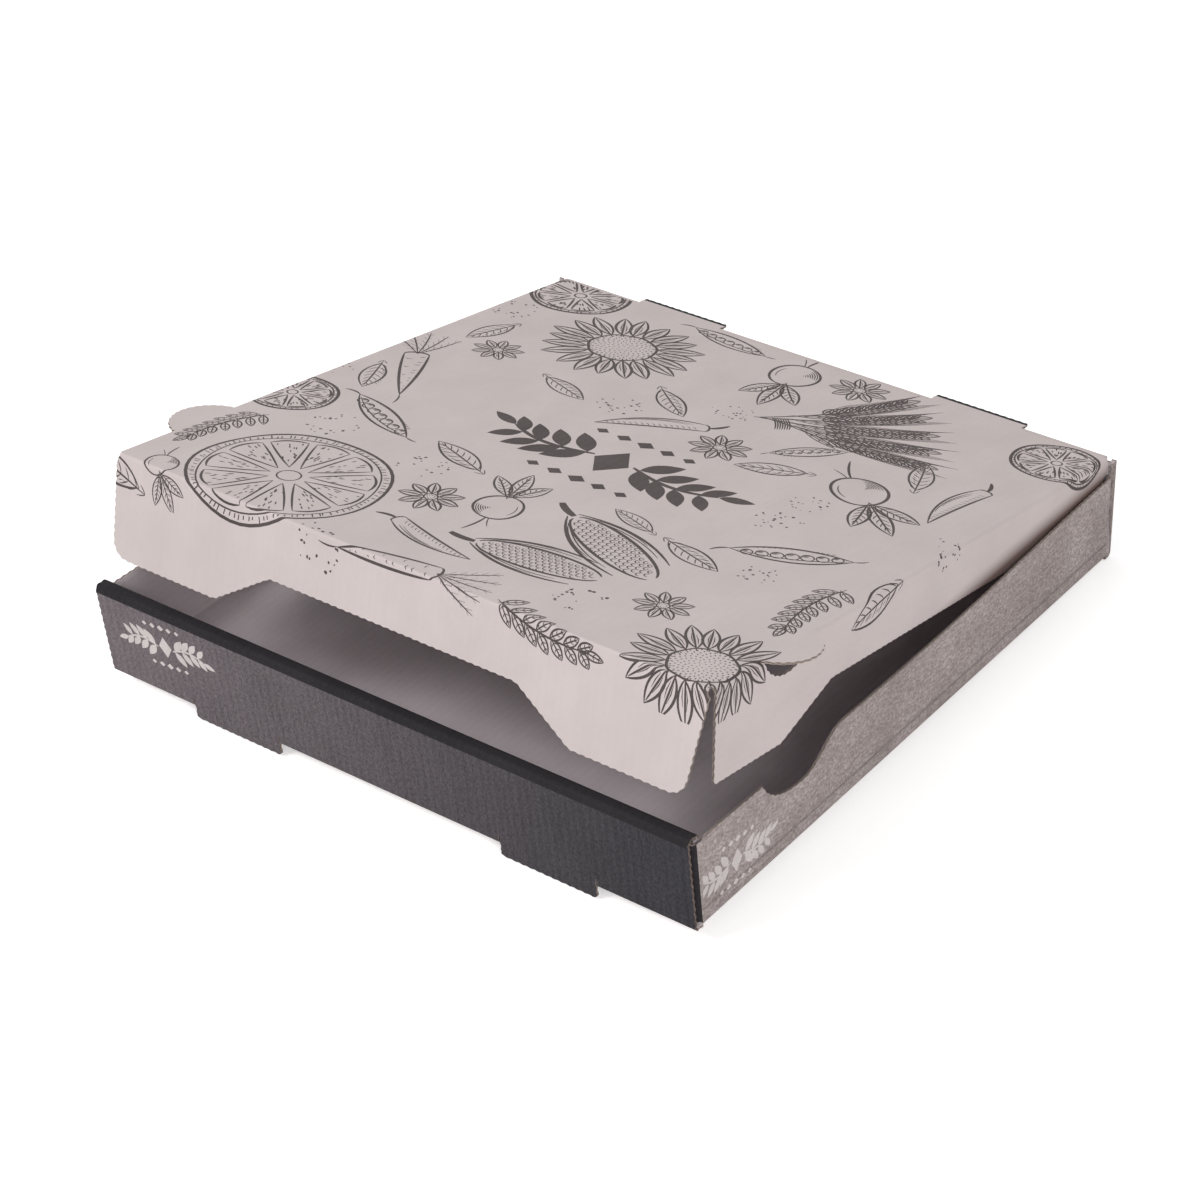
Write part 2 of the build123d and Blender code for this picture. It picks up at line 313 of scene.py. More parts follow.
def boardPiece(name, regions, place, finish, blank, depth=thick, flip=False):
    # regions: outline, holes, lines, ink, tag, grid, joined(x, y) where two regions share an edge
    mesh = bmesh.new()
    uv = mesh.loops.layers.uv.new("blank")

    def layFace(corners, marks, look):
        face = mesh.faces.new(corners[::-1] if flip else corners)
        face.material_index = finishOrder.index(look)
        for loop, mark in zip(face.loops, marks[::-1] if flip else marks):
            loop[uv].uv = (mark[0] * mm, mark[1] * mm)

    for region in regions:
        tag, joined = region.get("tag"), region.get("joined", lambda x, y: False)
        outline, holes, lines = region["outline"], region.get("holes", []), region.get("lines", [])
        grid = gridInside(outline) if region.get("grid", True) else []
        inks = [counterclockwise(list(shape)) for shape in region.get("ink", [])]
        verts, kept = triangulated([outline] + holes + inks, len(holes), lines, grid)
        loops = borderLoops([t for t, o in kept])
        border = sorted(([tuple(verts[i]) for i in loop] for loop in loops), key=lambda p: -abs(area(p)))
        crushed = set()
        if depth == thick:
            for loop in loops:
                middles = [(verts[i] + verts[j]) / 2 for i, j in zip(loop, loop[1:] + loop[:1])]
                free = [not joined(m.x, m.y) for m in middles]
                crushed |= {spot(verts[i]) for k, i in enumerate(loop) if free[k] and free[k - 1]}
        inset = grid + (ringInside(border) if crushed else [])
        rims = [counterclockwise(loop) for loop in border]
        insideVerts, insideKept = triangulated(rims, len(rims) - 1, lines, inset)
        outer = [mesh.verts.new(place(v.x, v.y, 0.0, tag)) for v in verts]
        inner, innerAt = [], {}
        for v in insideVerts:
            deep = depth * (boardSheet["crushedTo"] if spot(v) in crushed else 1)
            inner.append(mesh.verts.new(place(v.x, v.y, deep, tag)))
            innerAt[spot(v)] = inner[-1]
        sheets = (("outside", verts, outer, kept), ("inside", insideVerts, inner, insideKept))
        for side, sheet, corners, tris in sheets:
            for tri, owners in tris:
                order = tri if side == "outside" else tri[::-1]
                inked = side == "outside" and any(o > len(holes) for o in owners)
                cx, cy = (sum(sheet[i][axis] for i in tri) / 3 for axis in (0, 1))
                layFace([corners[i] for i in order], [blank(*sheet[i]) for i in order],
                        finish(cx, cy, tag, "ink" if inked else side))
        for loop in loops:
            run = 0.0
            for i, j in zip(loop, loop[1:] + loop[:1]):
                a, b = verts[i], verts[j]
                length, middle = (b - a).length, (a + b) / 2
                low, high = innerAt.get(spot(a)), innerAt.get(spot(b))
                if low and high and low != high and length > 1e-6 and not joined(middle.x, middle.y):
                    dx, dy = (abs(q - p) for p, q in zip(blank(*a), blank(*b)))
                    layFace([outer[i], low, high, outer[j]],
                            [(run, 0), (run, depth), (run + length, depth), (run + length, 0)],
                            finish(middle.x, middle.y, tag, "cutAcross" if dx > dy else "cutAlong"))
                run += length
    bmesh.ops.delete(mesh, geom=[v for v in mesh.verts if not v.link_faces], context="VERTS")
    bmesh.ops.remove_doubles(mesh, verts=mesh.verts, dist=boardSheet["weld"])
    piece = meshPiece(name, mesh)
    for material in finishes.values():
        piece.data.materials.append(material)
    return piece


# The print: line drawings of kitchen-garden things, made of strokes and small filled shapes.
pen = {"weight": 1.32, "finest": 0.5}


def stroke(points, width, ends=0.35):
    n, width = len(points) - 1, max(pen["finest"], width * pen["weight"])
    left, right = [], []
    for i, (x, y) in enumerate(points):
        ax, ay = points[max(i - 1, 0)]
        bx, by = points[min(i + 1, n)]
        d = math.hypot(bx - ax, by - ay) or 1e-6
        w = width / 2 * (ends + (1 - ends) * max(0.0, math.sin(math.pi * i / n)) ** 0.5)
        left.append((x - (by - ay) / d * w, y + (bx - ax) / d * w))
        right.append((x + (by - ay) / d * w, y - (bx - ax) / d * w))
    return right + left[::-1]


def curve(start, middle, end, steps=8):
    out = []
    for i in range(steps + 1):
        t = i / steps
        out.append(tuple((1 - t) ** 2 * a + 2 * t * (1 - t) * b + t * t * c
                         for a, b, c in zip(start, middle, end)))
    return out


def drawn(*rows):
    # rows: start, middle, end, steps, width
    return [stroke(curve(*row[:4]), row[4]) for row in rows]


def polar(r, a):
    return (r * math.cos(a), r * math.sin(a))


def arc(cx, cy, rx, ry, a0, a1, steps=12, wobble=0.0, turns=3):
    out = []
    for i in range(steps + 1):
        a = math.radians(a0 + (a1 - a0) * i / steps)
        r = 1 + wobble * math.sin(turns * a)
        out.append((cx + rx * r * math.cos(a), cy + ry * r * math.sin(a)))
    return out


def ringStrokes(cx, cy, rx, ry, width, wobble=0.0, turns=3, steps=16):
    return [stroke(arc(cx, cy, rx, ry, a, a + 186, steps, wobble, turns), width, 0.6) for a in (20, 200)]


def dot(cx, cy, r, lean=0.0, flat=1.0):
    return [(cx + r * math.cos(a) * math.cos(lean) - r * flat * math.sin(a) * math.sin(lean),
             cy + r * math.cos(a) * math.sin(lean) + r * flat * math.sin(a) * math.cos(lean))
            for a in [k * math.pi / 3 for k in range(6)]]


def leafShape(length, width, veins, line, bend=0.0):
    tip, rise = (length, bend * length), bend * length * 0.3
    marks = drawn(((0, 0), (length * 0.45, width + rise), tip, 10, line),
                  ((0, 0), (length * 0.45, -width + rise), tip, 10, line * 1.15))
    rib = curve((-length * 0.12, -0.02 * length), (length * 0.5, bend * length * 0.25),
                (length * 0.93, bend * length * 0.93))
    marks.append(stroke(rib, line * 0.9))
    for k in range(veins):
        t = (k + 1) / (veins + 1)
        x, y = rib[int(t * (len(rib) - 1))]
        side = width * 0.36 * math.sin(math.pi * min(0.95, t * 0.9 + 0.1))
        for out in (side, -side):
            middle, end = (x + length * 0.04, y + out * 0.6), (x + length * 0.12, y + out)
            marks += drawn(((x, y), middle, end, 3, line * 0.55))
    return marks


def moved(marks, x, y, angle=0.0, scale=1.0):
    a = math.radians(angle)
    c, s = math.cos(a) * scale, math.sin(a) * scale
    return [[(x + px * c - py * s, y + px * s + py * c) for px, py in mark] for mark in marks]


def leafMark(rng):
    length, width = 36, 13
    marks = leafShape(length, width, 8, 0.85, rng.uniform(-0.12, 0.12))
    for k in range(9):      # shade on the lower half
        x = 7 + k * 2.7
        y = -0.36 * width * math.sin(math.pi * x / length)
        marks.append(stroke([(x, y * 0.75), (x + 1.2, y * 0.95), (x + 2.2, y * 1.12)], 0.34))
    return marks


def sprigMark(rng):
    stem = curve((-26, -4), (0, 6), (26, 0), 14)
    marks = [stroke(stem, 0.8)]
    for k in range(1, 14, 2):
        x, y = stem[k]
        for way in (1, -1):
            lean = way * (52 - k) + rng.uniform(-6, 6)
            marks += moved(leafShape(13 - k * 0.3, 4.6, 3, 0.65), x + 0.5 * way, y, lean)
    return marks + moved(leafShape(11, 4, 3, 0.65), 25, 0, 2)


def wheatMark(rng):
    stem = curve((-46, -7), (-4, 6), (36, 0), 22)
    marks = [stroke(stem, 0.95)]
    corn = leafShape(9.4, 4.2, 0, 0.72) + [stroke([(2.0, -0.4), (4.4, -0.7), (6.6, -0.3)], 0.36),
                                           stroke([(2.6, 0.4), (4.6, 0.3), (6.0, 0.2)], 0.3)]
    for x, y in stem[9:22]:
        for way in (1, -1):
            marks += moved(corn, x, y + 0.5 * way, way * 27 + rng.uniform(-4, 4))
            tx, ty = x + 8.2 * math.cos(0.5), y + way * 8.2 * math.sin(0.5)
            marks += drawn(((tx, ty), (tx + 7, ty + way * 2.2), (tx + 14, ty + way * 3.0), 4, 0.4))
    marks += moved(leafShape(11, 4.2, 0, 0.72), 35, 0)
    return marks + moved(leafShape(24, 3.6, 3, 0.65), -27, -2.4, 26)


def sheafMark(rng):
    marks = []
    for turn, y in ((-26, -3), (-12, -1.5), (3, 0), (17, 1.5), (30, 3)):
        marks += moved(wheatMark(rng), 26, y + turn * 0.62, turn, 0.92)
    for x in [k * 1.1 for k in range(7)]:      # the tie
        marks += drawn(((x - 8, -7), (x - 6, 0), (x - 8, 7), 6, 0.6))
    return marks


def wheelMark(rng, radius=17, cells=9):
    marks = ringStrokes(0, 0, radius, radius, 1.0, 0.012, 5, 26)
    marks += ringStrokes(0, 0, radius * 0.9, radius * 0.9, 0.5, 0.014, 4, 26)
    marks += ringStrokes(0, 0, radius * 0.12, radius * 0.12, 0.5)
    ticks = int(radius * 2.6)
    for k in range(ticks):
        a = 2 * math.pi * (k + rng.uniform(-0.3, 0.3)) / ticks
        tick = [polar(radius * 0.915, a), polar(radius * rng.uniform(0.94, 0.985), a + 0.01)]
        marks.append(stroke(tick, 0.32, 1))
    half, rim = math.pi / cells * 0.82, radius * 0.82
    for k in range(cells):
        a = 2 * math.pi * k / cells
        root, left, right = polar(radius * 0.2, a), polar(rim, a + half), polar(rim, a - half)
        marks += drawn((root, polar(rim * 0.62, a + half), left, 5, 0.65),
                       (root, polar(rim * 0.62, a - half), right, 5, 0.65),
                       (left, polar(rim * 1.1, a), right, 6, 0.8))
        for j in range(int(3 + radius * 0.32)):
            r = radius * rng.uniform(0.34, 0.78)
            b = a + rng.uniform(-half, half) * 0.72
            x, y = polar(r, b)
            reach = rng.uniform(1.2, 2.8)
            seed = [(x + t * math.cos(b), y + t * math.sin(b)) for t in (0, reach * 0.5, reach)]
            marks.append(stroke(seed, 0.5))
    return marks


def bigWheelMark(rng):
    return wheelMark(rng, 36, 11)


def sunflowerMark(rng):
    marks = ringStrokes(0, 0, 13.5, 13.5, 0.9, 0.02, 7, 20)
    folds = [stroke([(3, 0.9), (7, 1.3), (11, 1.0)], 0.36),
             stroke([(4, -0.8), (8, -1.1), (12.5, -0.6)], 0.36)]
    for k in range(20):
        a = 2 * math.pi * k / 20
        petal = leafShape(18 + rng.uniform(-1.5, 1.5), 6.4, 0, 0.8) + folds
        marks += moved(petal, *polar(13.8, a), math.degrees(a) + rng.uniform(-5, 5))
    for k in range(1, 150):
        r, a = 1.08 * math.sqrt(k), 2.39996 * k
        marks.append(dot(*polar(r, a), 0.34 + 0.016 * r, a, 0.7))
    return marks


def podMark(rng):
    marks = drawn(((-25, 0), (0, 15.5), (25, 2), 14, 0.95), ((-25, 0), (0, -11), (25, 2), 14, 1.05),
                  ((-22, 0.8), (0, 8.8), (23, 2.2), 12, 0.55), ((-25, 0), (-29, -0.8), (-33, 3.2), 4, 0.9),
                  ((25, 2), (28, 2.2), (31, 0.4), 3, 0.7))
    for k in range(7):
        x = -18 + k * 6.1
        y = 1.3 + 1.2 * math.cos(x / 16)
        r = 2.9 - 0.16 * abs(k - 3)
        marks += ringStrokes(x, y, r, r, 0.55, steps=10)
        marks += [stroke(arc(x, y, r * share, r * share, 190, 300, 4), 0.36) for share in (0.35, 0.6, 0.82)]
    for k in range(14):
        x = -14 + k * 2.3
        low = 0.006 * x * x
        marks.append(stroke([(x, low - 4.0), (x + 0.9, low - 4.7), (x + 2.0, low - 4.9)], 0.42))
    return marks


def chilliMark(rng):
    marks = drawn(((-24, 4.2), (3, 12.5), (30, -8), 16, 1.0), ((-24, -4.2), (0, -3.8), (30, -8), 16, 1.1))
    marks.append(stroke(arc(-24, 0, 2.4, 4.3, 90, 270, 8), 0.9))
    marks += drawn(((-26, 0.3), (-31, 0.8), (-36, 6), 6, 1.7), ((-18, 3.3), (0, 7.4), (16, -0.6), 9, 0.5),
                   ((-16, 2.2), (-2, 5.4), (8, 1.6), 7, 0.36))
    for k in range(16):
        x = -20 + k * 2.9
        y = -2.9 - 0.0125 * max(0, x + 20) ** 1.5
        marks.append(stroke([(x, y), (x + 0.6, y + 1.6), (x + 1.7, y + 2.7)], 0.42))
    return marks


def rootMark(rng):
    marks = ringStrokes(0, 0, 12.5, 10.8, 1.0, 0.02, 3, 20)
    marks += drawn(((-12, -0.6), (-19, -0.9), (-28, -5.2), 8, 0.85),
                   ((-12, 0.9), (-16, 1.1), (-21, 3.6), 5, 0.45))
    for k in range(8):
        marks.append(stroke(arc(0, 0, 12.3 - 1.15 * k, 10.6 - 1.0 * k, 200 + 5 * k, 275 - 4 * k, 7), 0.42))
    marks.append(stroke(arc(0, 0, 9.5, 8, 60, 130, 6), 0.4))
    for way, reach in ((-1, 22), (0, 27), (1, 21)):
        marks += moved(leafShape(reach, 7.6, 6, 0.75, 0.1 * way), 12.7, way * 1.3, way * 28)
    return marks


def cornMark(rng):
    marks = [stroke(arc(0, 0, 25, 8.2, 12, 172, 18), 0.95), stroke(arc(0, 0, 25, 8.2, 188, 348, 18), 1.05)]
    for row in range(-3, 4):
        for k in range(17):
            x, y = -21.5 + k * 2.7 + 1.2 * (row % 2), row * 2.25
            if (x / 24) ** 2 + (y / 7.6) ** 2 < 0.9:
                marks.append(stroke(arc(x, y, 1.15, 0.95, 30, 250, 5), 0.4))
                if row < 0:
                    marks.append(dot(x + 0.3, y - 0.2, 0.34))
    for way in (1, -1):
        marks += drawn(((-27, way * 2), (-8, way * 17), (18, way * 10.5), 12, 0.95),
                       ((-24, way * 3), (-6, way * 13), (12, way * 9.6), 10, 0.45),
                       ((-22, way * 4.5), (-10, way * 12.5), (3, way * 11.2), 8, 0.4))
    marks.append(stroke(curve((-26, 0), (-32, 0.6), (-37, -1.5), 5), 2.2, 0.7))
    return marks


def carrotMark(rng):
    marks = drawn(((-14, 5.4), (8, 5.0), (32, -0.5), 14, 1.0), ((-14, -5.4), (8, -5.4), (32, -0.5), 14, 1.05))
    marks.append(stroke(arc(-14, 0, 2.6, 5.4, 90, 270, 8), 0.95))
    marks += drawn(((32, -0.5), (37, -1.4), (42, 0.6), 4, 0.6))
    for k in range(13):
        x = -12 + k * 3.1
        half = 4.6 * (1 - (x + 14) / 48)
        y = half if k % 3 == 1 else -half
        marks.append(stroke([(x, y), (x + 0.7, y * 0.66), (x + 0.4, y * rng.uniform(0.1, 0.45))], 0.42))
    roots = [(5 + 4.2 * k, y) for k in range(5) for y in (1.6, -1.6)]
    leaflets = [stroke([(x, 0), (x + 2.6, y)], 0.42) for x, y in roots]
    frond = leaflets + drawn(((0, 0), (12, 1.4), (26, 0), 8, 0.55))
    for turn in (-34, -15, 4, 22, 38):
        marks += moved(frond, -15, 0, 180 + turn)
    return marks


def flowerMark(rng):
    marks = ringStrokes(0, 0, 3.2, 3.2, 0.65, steps=8)
    petal = leafShape(11.5, 5.2, 0, 0.75) + [stroke([(2.5, 0.7), (5, 1.0), (7.5, 0.7)], 0.34)]
    for k in range(9):
        marks += moved(petal, *polar(3.6, k * 0.698), k * 40)
    return marks + [dot(*polar(1.7, k * 0.9), 0.36) for k in range(7)]


def solidLeaf(size, fullness):
    upper = curve((0, 0), (size * 0.42, size * fullness), (size, 0))
    lower = curve((size, 0), (size * 0.42, -size * fullness), (0, 0))
    return upper + lower[1:-1]


def laurelMark(rng=None):
    # bold middle ornament: two solid sprays of leaves either side of a lozenge
    marks = []
    for way in (1, -1):
        stem = [(way * (8 + 34 * t), 6.5 * math.sin(2.6 * t) - 4 * t) for t in [k / 12 for k in range(13)]]
        marks.append(stroke(stem, 1.5, 0.5))
        for k in (1, 4, 7, 10):
            x, y = stem[k]
            for side in (1, -1):
                turn = 90 - way * 90 + way * side * 50
                marks += moved([solidLeaf(16.5 - 0.4 * k, 0.44)], x, y + 0.7 * side, turn)
        marks += moved([solidLeaf(12.5, 0.4)], *stem[-1], 90 - way * 90 - way * 20)
    marks.append([(7, 1.5), (0, 12), (-7, 1.5), (0, -9)])
    for k in (-2, -1, 0, 1, 2):
        r = 3.0 - 0.4 * abs(k)
        for y in (-18, 21):
            marks.append([(k * 9 + r * 1.2, y), (k * 9, y + r), (k * 9 - r * 1.2, y), (k * 9, y - r)])
    return marks


def scatterMark(rng):
    marks = []
    for k in range(22):
        a, r = rng.uniform(0, 6.28), 12 * math.sqrt(rng.uniform(0.02, 1))
        marks.append(dot(*polar(r, a), rng.uniform(0.4, 0.9), rng.uniform(0, 3), rng.uniform(0.6, 1)))
    return marks


lidPrint = {
    "seed": 17,
    # kind, across, from the hinge towards the front, turn, size
    "motifs": [
        (sunflowerMark, -64, 46, 0, 1), (sheafMark, 26, 62, -38, 0.82), (bigWheelMark, -72, 232, 0, 1),
        (cornMark, 44, 198, 24, 1.05), (cornMark, 32, 224, -8, 0.95), (sunflowerMark, 116, 248, 10, 0.86),
        (wheelMark, -110, 12, 10, 1.2), (wheelMark, 116, 20, 40, 1), (wheelMark, -122, 174, 0, 1),
        (carrotMark, -108, 122, 60, 0.9), (carrotMark, 2, 258, 172, 0.85), (rootMark, 0, 20, 80, 0.9),
        (rootMark, 78, 96, 40, 0.95), (rootMark, -4, 200, 255, 0.8), (podMark, -84, 166, 24, 0.85),
        (podMark, 90, 158, -32, 0.85), (podMark, -38, 8, 6, 0.75), (chilliMark, -10, 98, 150, 0.75),
        (chilliMark, 108, 80, 100, 0.7), (chilliMark, -6, 238, 20, 0.7), (leafMark, -28, 70, 40, 0.75),
        (leafMark, 56, 96, 150, 0.75), (leafMark, -28, 180, 200, 0.8), (leafMark, 54, 180, 20, 0.75),
        (leafMark, -108, 58, 100, 0.7), (leafMark, 128, 150, 80, 0.8), (leafMark, -118, 128, 60, 0.7),
        (leafMark, -116, 270, 200, 0.8), (sprigMark, 118, 188, 84, 0.75), (sprigMark, -118, 214, 96, 0.7),
        (sprigMark, 60, 262, 6, 0.75), (flowerMark, 20, 100, 0, 0.8), (flowerMark, -96, 84, 10, 0.7),
        (flowerMark, -26, 210, 0, 0.8), (flowerMark, 82, 222, 0, 0.7), (flowerMark, 26, 14, 0, 0.8),
        (laurelMark, 0, 138, 0, 1.08), (leafMark, -66, 92, 20, 0.7), (podMark, 46, 80, 130, 0.6),
        (leafMark, 92, 80, 250, 0.7), (rootMark, -110, 256, 60, 0.55), (leafMark, 46, 178, 200, 0.6),
        (scatterMark, -30, 94, 0, 0.8), (scatterMark, 70, 118, 0, 0.7), (scatterMark, -118, 44, 0, 0.8),
        (scatterMark, 72, 140, 0, 0.8), (scatterMark, -44, 192, 0, 0.8), (scatterMark, 62, 240, 0, 0.9),
        (scatterMark, -92, 186, 0, 0.9), (scatterMark, 4, 68, 0, 0.7), (scatterMark, 92, 180, 0, 0.7),
        (scatterMark, -34, 264, 0, 0.9), (scatterMark, -130, 144, 0, 0.8), (scatterMark, 126, 116, 0, 0.8),
    ],
    "blockHalf": 141.0, "blockEnd": 274.0,
}


def clipped(mark, axis, limit, way):
    out = []
    for p, q in zip(mark, mark[1:] + mark[:1]):
        a, b = way * (limit - p[axis]), way * (limit - q[axis])
        if a >= 0:
            out.append(p)
        if (a > 0) != (b > 0) and abs(a - b) > 1e-9:
            t = a / (a - b)
            out.append((p[0] + (q[0] - p[0]) * t, p[1] + (q[1] - p[1]) * t))
    return out


def drawPrint():
    # in blank coordinates: across, and distance from the hinge along the outer face
    rng = random.Random(lidPrint["seed"])
    marks = []
    for kind, x, v, turn, size in lidPrint["motifs"]:
        marks += moved(kind(rng), x, v, turn, size)
    # the printed block ends straight, a little past the creases
    half, end = lidPrint["blockHalf"], lidPrint["blockEnd"]
    for axis, limit, way in ((0, half, 1), (0, -half, -1), (1, end, 1)):
        marks = [m for m in (clipped(mark, axis, limit, way) for mark in marks) if len(m) > 2]
    return marks


print("drawing the print")
printMarks = drawPrint()
print("print shapes", len(printMarks))


# Materials. Colours are written as they should look, in 0 to 255 steps.
def tone(*steps):
    shares = [step / 255 for step in steps]
    return tuple(c / 12.92 if c <= 0.04045 else ((c + 0.055) / 1.055) ** 2.4 for c in shares) + (1.0,)


def node(tree, kind, **values):
    made = tree.nodes.new(kind)
    for key, value in values.items():
        setattr(made, key, value)
    return made


def wire(tree, *pairs):
    for a, b in pairs:
        tree.links.new(a, b)


def calc(tree, operation, *values, clamp=False):
    made = node(tree, "ShaderNodeMath", operation=operation, use_clamp=clamp)
    for value, socket in zip(values, made.inputs):
        if isinstance(value, (int, float)):
            socket.default_value = value
        else:
            wire(tree, (value, socket))
    return made.outputs[0]


def blended(tree, factor, a, b, mode="MIX"):
    made = node(tree, "ShaderNodeMix", data_type="RGBA", blend_type=mode)
    for socket, value in ((made.inputs[0], factor), (made.inputs[6], a), (made.inputs[7], b)):
        if isinstance(value, (int, float, tuple)):
            socket.default_value = value
        else:
            wire(tree, (value, socket))
    return made.outputs[2]


def darkened(tree, mask, coloured, colour):
    return blended(tree, mask, coloured, blended(tree, 1.0, coloured, tone(*colour), "MULTIPLY"))


def ranged(tree, value, low, high, toLow=0.0, toHigh=1.0):
    made = node(tree, "ShaderNodeMapRange", clamp=True)
    for i, number in enumerate((low, high, toLow, toHigh)):
        made.inputs[i + 1].default_value = number
    wire(tree, (value, made.inputs[0]))
    return made.outputs[0]


def blankPlace(tree, acrossScale, alongScale):
    # places in the flat blank, in millimetres times the scales
    source = node(tree, "ShaderNodeUVMap", uv_map="blank")
    spread = node(tree, "ShaderNodeVectorMath", operation="MULTIPLY")
    spread.inputs[1].default_value = (1000 * acrossScale, 1000 * alongScale, 0)
    wire(tree, (source.outputs[0], spread.inputs[0]))
    return spread.outputs[0]


def blankParts(tree):
    parts = node(tree, "ShaderNodeSeparateXYZ")
    wire(tree, (blankPlace(tree, 1, 1), parts.inputs[0]))
    return parts.outputs[0], parts.outputs[1]


def noiseAt(tree, vector, detail=3.0, rough=0.55):
    made = node(tree, "ShaderNodeTexNoise", noise_dimensions="2D")
    made.inputs["Scale"].default_value = 1.0
    made.inputs["Detail"].default_value = detail
    made.inputs["Roughness"].default_value = rough
    wire(tree, (vector, made.inputs["Vector"]))
    return made.outputs["Fac"]


def newGroup(name, takes, gives):
    group = bpy.data.node_groups.new(name, "ShaderNodeTree")
    for label, value in takes.items():
        group.interface.new_socket(label, in_out="INPUT", socket_type="NodeSocketFloat").default_value = value
    for label in gives:
        group.interface.new_socket(label, in_out="OUTPUT", socket_type="NodeSocketFloat")
    return group, node(group, "NodeGroupInput"), node(group, "NodeGroupOutput")


def fluteGroup():
    # flute lines showing through the liner: a height, and a mask of lighter and darker streaks
    takes = {"Pitch": boardSheet["flutePitch"], "Unevenness": 0.5}
    group, inside, outside = newGroup("fluteLines", takes, ("Height", "Streak"))
    wander = noiseAt(group, blankPlace(group, 0.09, 0.012), 2.0)
    drift = calc(group, "MULTIPLY", calc(group, "SUBTRACT", wander, 0.5), 1.6)
    turns = calc(group, "DIVIDE", calc(group, "ADD", blankParts(group)[0], drift), inside.outputs[0])
    wave = calc(group, "SINE", calc(group, "MULTIPLY", turns, 2 * math.pi))
    ridge = calc(group, "MULTIPLY_ADD", wave, 0.5, 0.5)
    patch = noiseAt(group, blankPlace(group, 0.35, 0.05), 3.0, 0.6)
    uneven = calc(group, "MULTIPLY", calc(group, "SUBTRACT", patch, 0.5), inside.outputs[1])
    base = calc(group, "ADD", calc(group, "MULTIPLY", uneven, 1.6), 0.22)
    streak = calc(group, "ADD", calc(group, "MULTIPLY", ridge, 0.55), base, clamp=True)
    wire(group, (ridge, outside.inputs[0]), (streak, outside.inputs[1]))
    return group


def paperGroup():
    # pulp: a fine grain, a cloudy unevenness, small dark flecks and long blotches
    group, inside, outside = newGroup("paperPulp", {"Grain Size": 0.5}, ("Grain", "Cloud", "Fleck", "Blotch"))
    sized = node(group, "ShaderNodeVectorMath", operation="SCALE")
    fineness = calc(group, "DIVIDE", 1.0, inside.outputs[0])
    wire(group, (blankPlace(group, 1, 0.7), sized.inputs[0]), (fineness, sized.inputs["Scale"]))
    grain = noiseAt(group, sized.outputs[0], 4.0, 0.65)
    cloud = noiseAt(group, blankPlace(group, 0.045, 0.03), 4.0, 0.6)
    specks = node(group, "ShaderNodeTexVoronoi", voronoi_dimensions="2D", feature="F1")
    specks.inputs["Scale"].default_value = 1.0
    wire(group, (blankPlace(group, 0.42, 0.3), specks.inputs["Vector"]))
    fleck = calc(group, "LESS_THAN", specks.outputs["Distance"], 0.055)
    blotch = noiseAt(group, blankPlace(group, 0.6, 0.26), 4.0, 0.7)
    wire(group, *zip((grain, cloud, fleck, blotch), outside.inputs))
    return group


print("mixing the finishes")
fluteLines = fluteGroup()
paperPulp = paperGroup()


def newFinish(name):
    material = bpy.data.materials.new(name)
    material.use_nodes = True
    return material, material.node_tree, material.node_tree.nodes["Principled BSDF"]


def raised(tree, shader, height, strength, distance):
    bump = node(tree, "ShaderNodeBump")
    bump.inputs["Strength"].default_value = strength
    bump.inputs["Distance"].default_value = distance
    wire(tree, (height, bump.inputs["Height"]), (bump.outputs[0], shader.inputs["Normal"]))


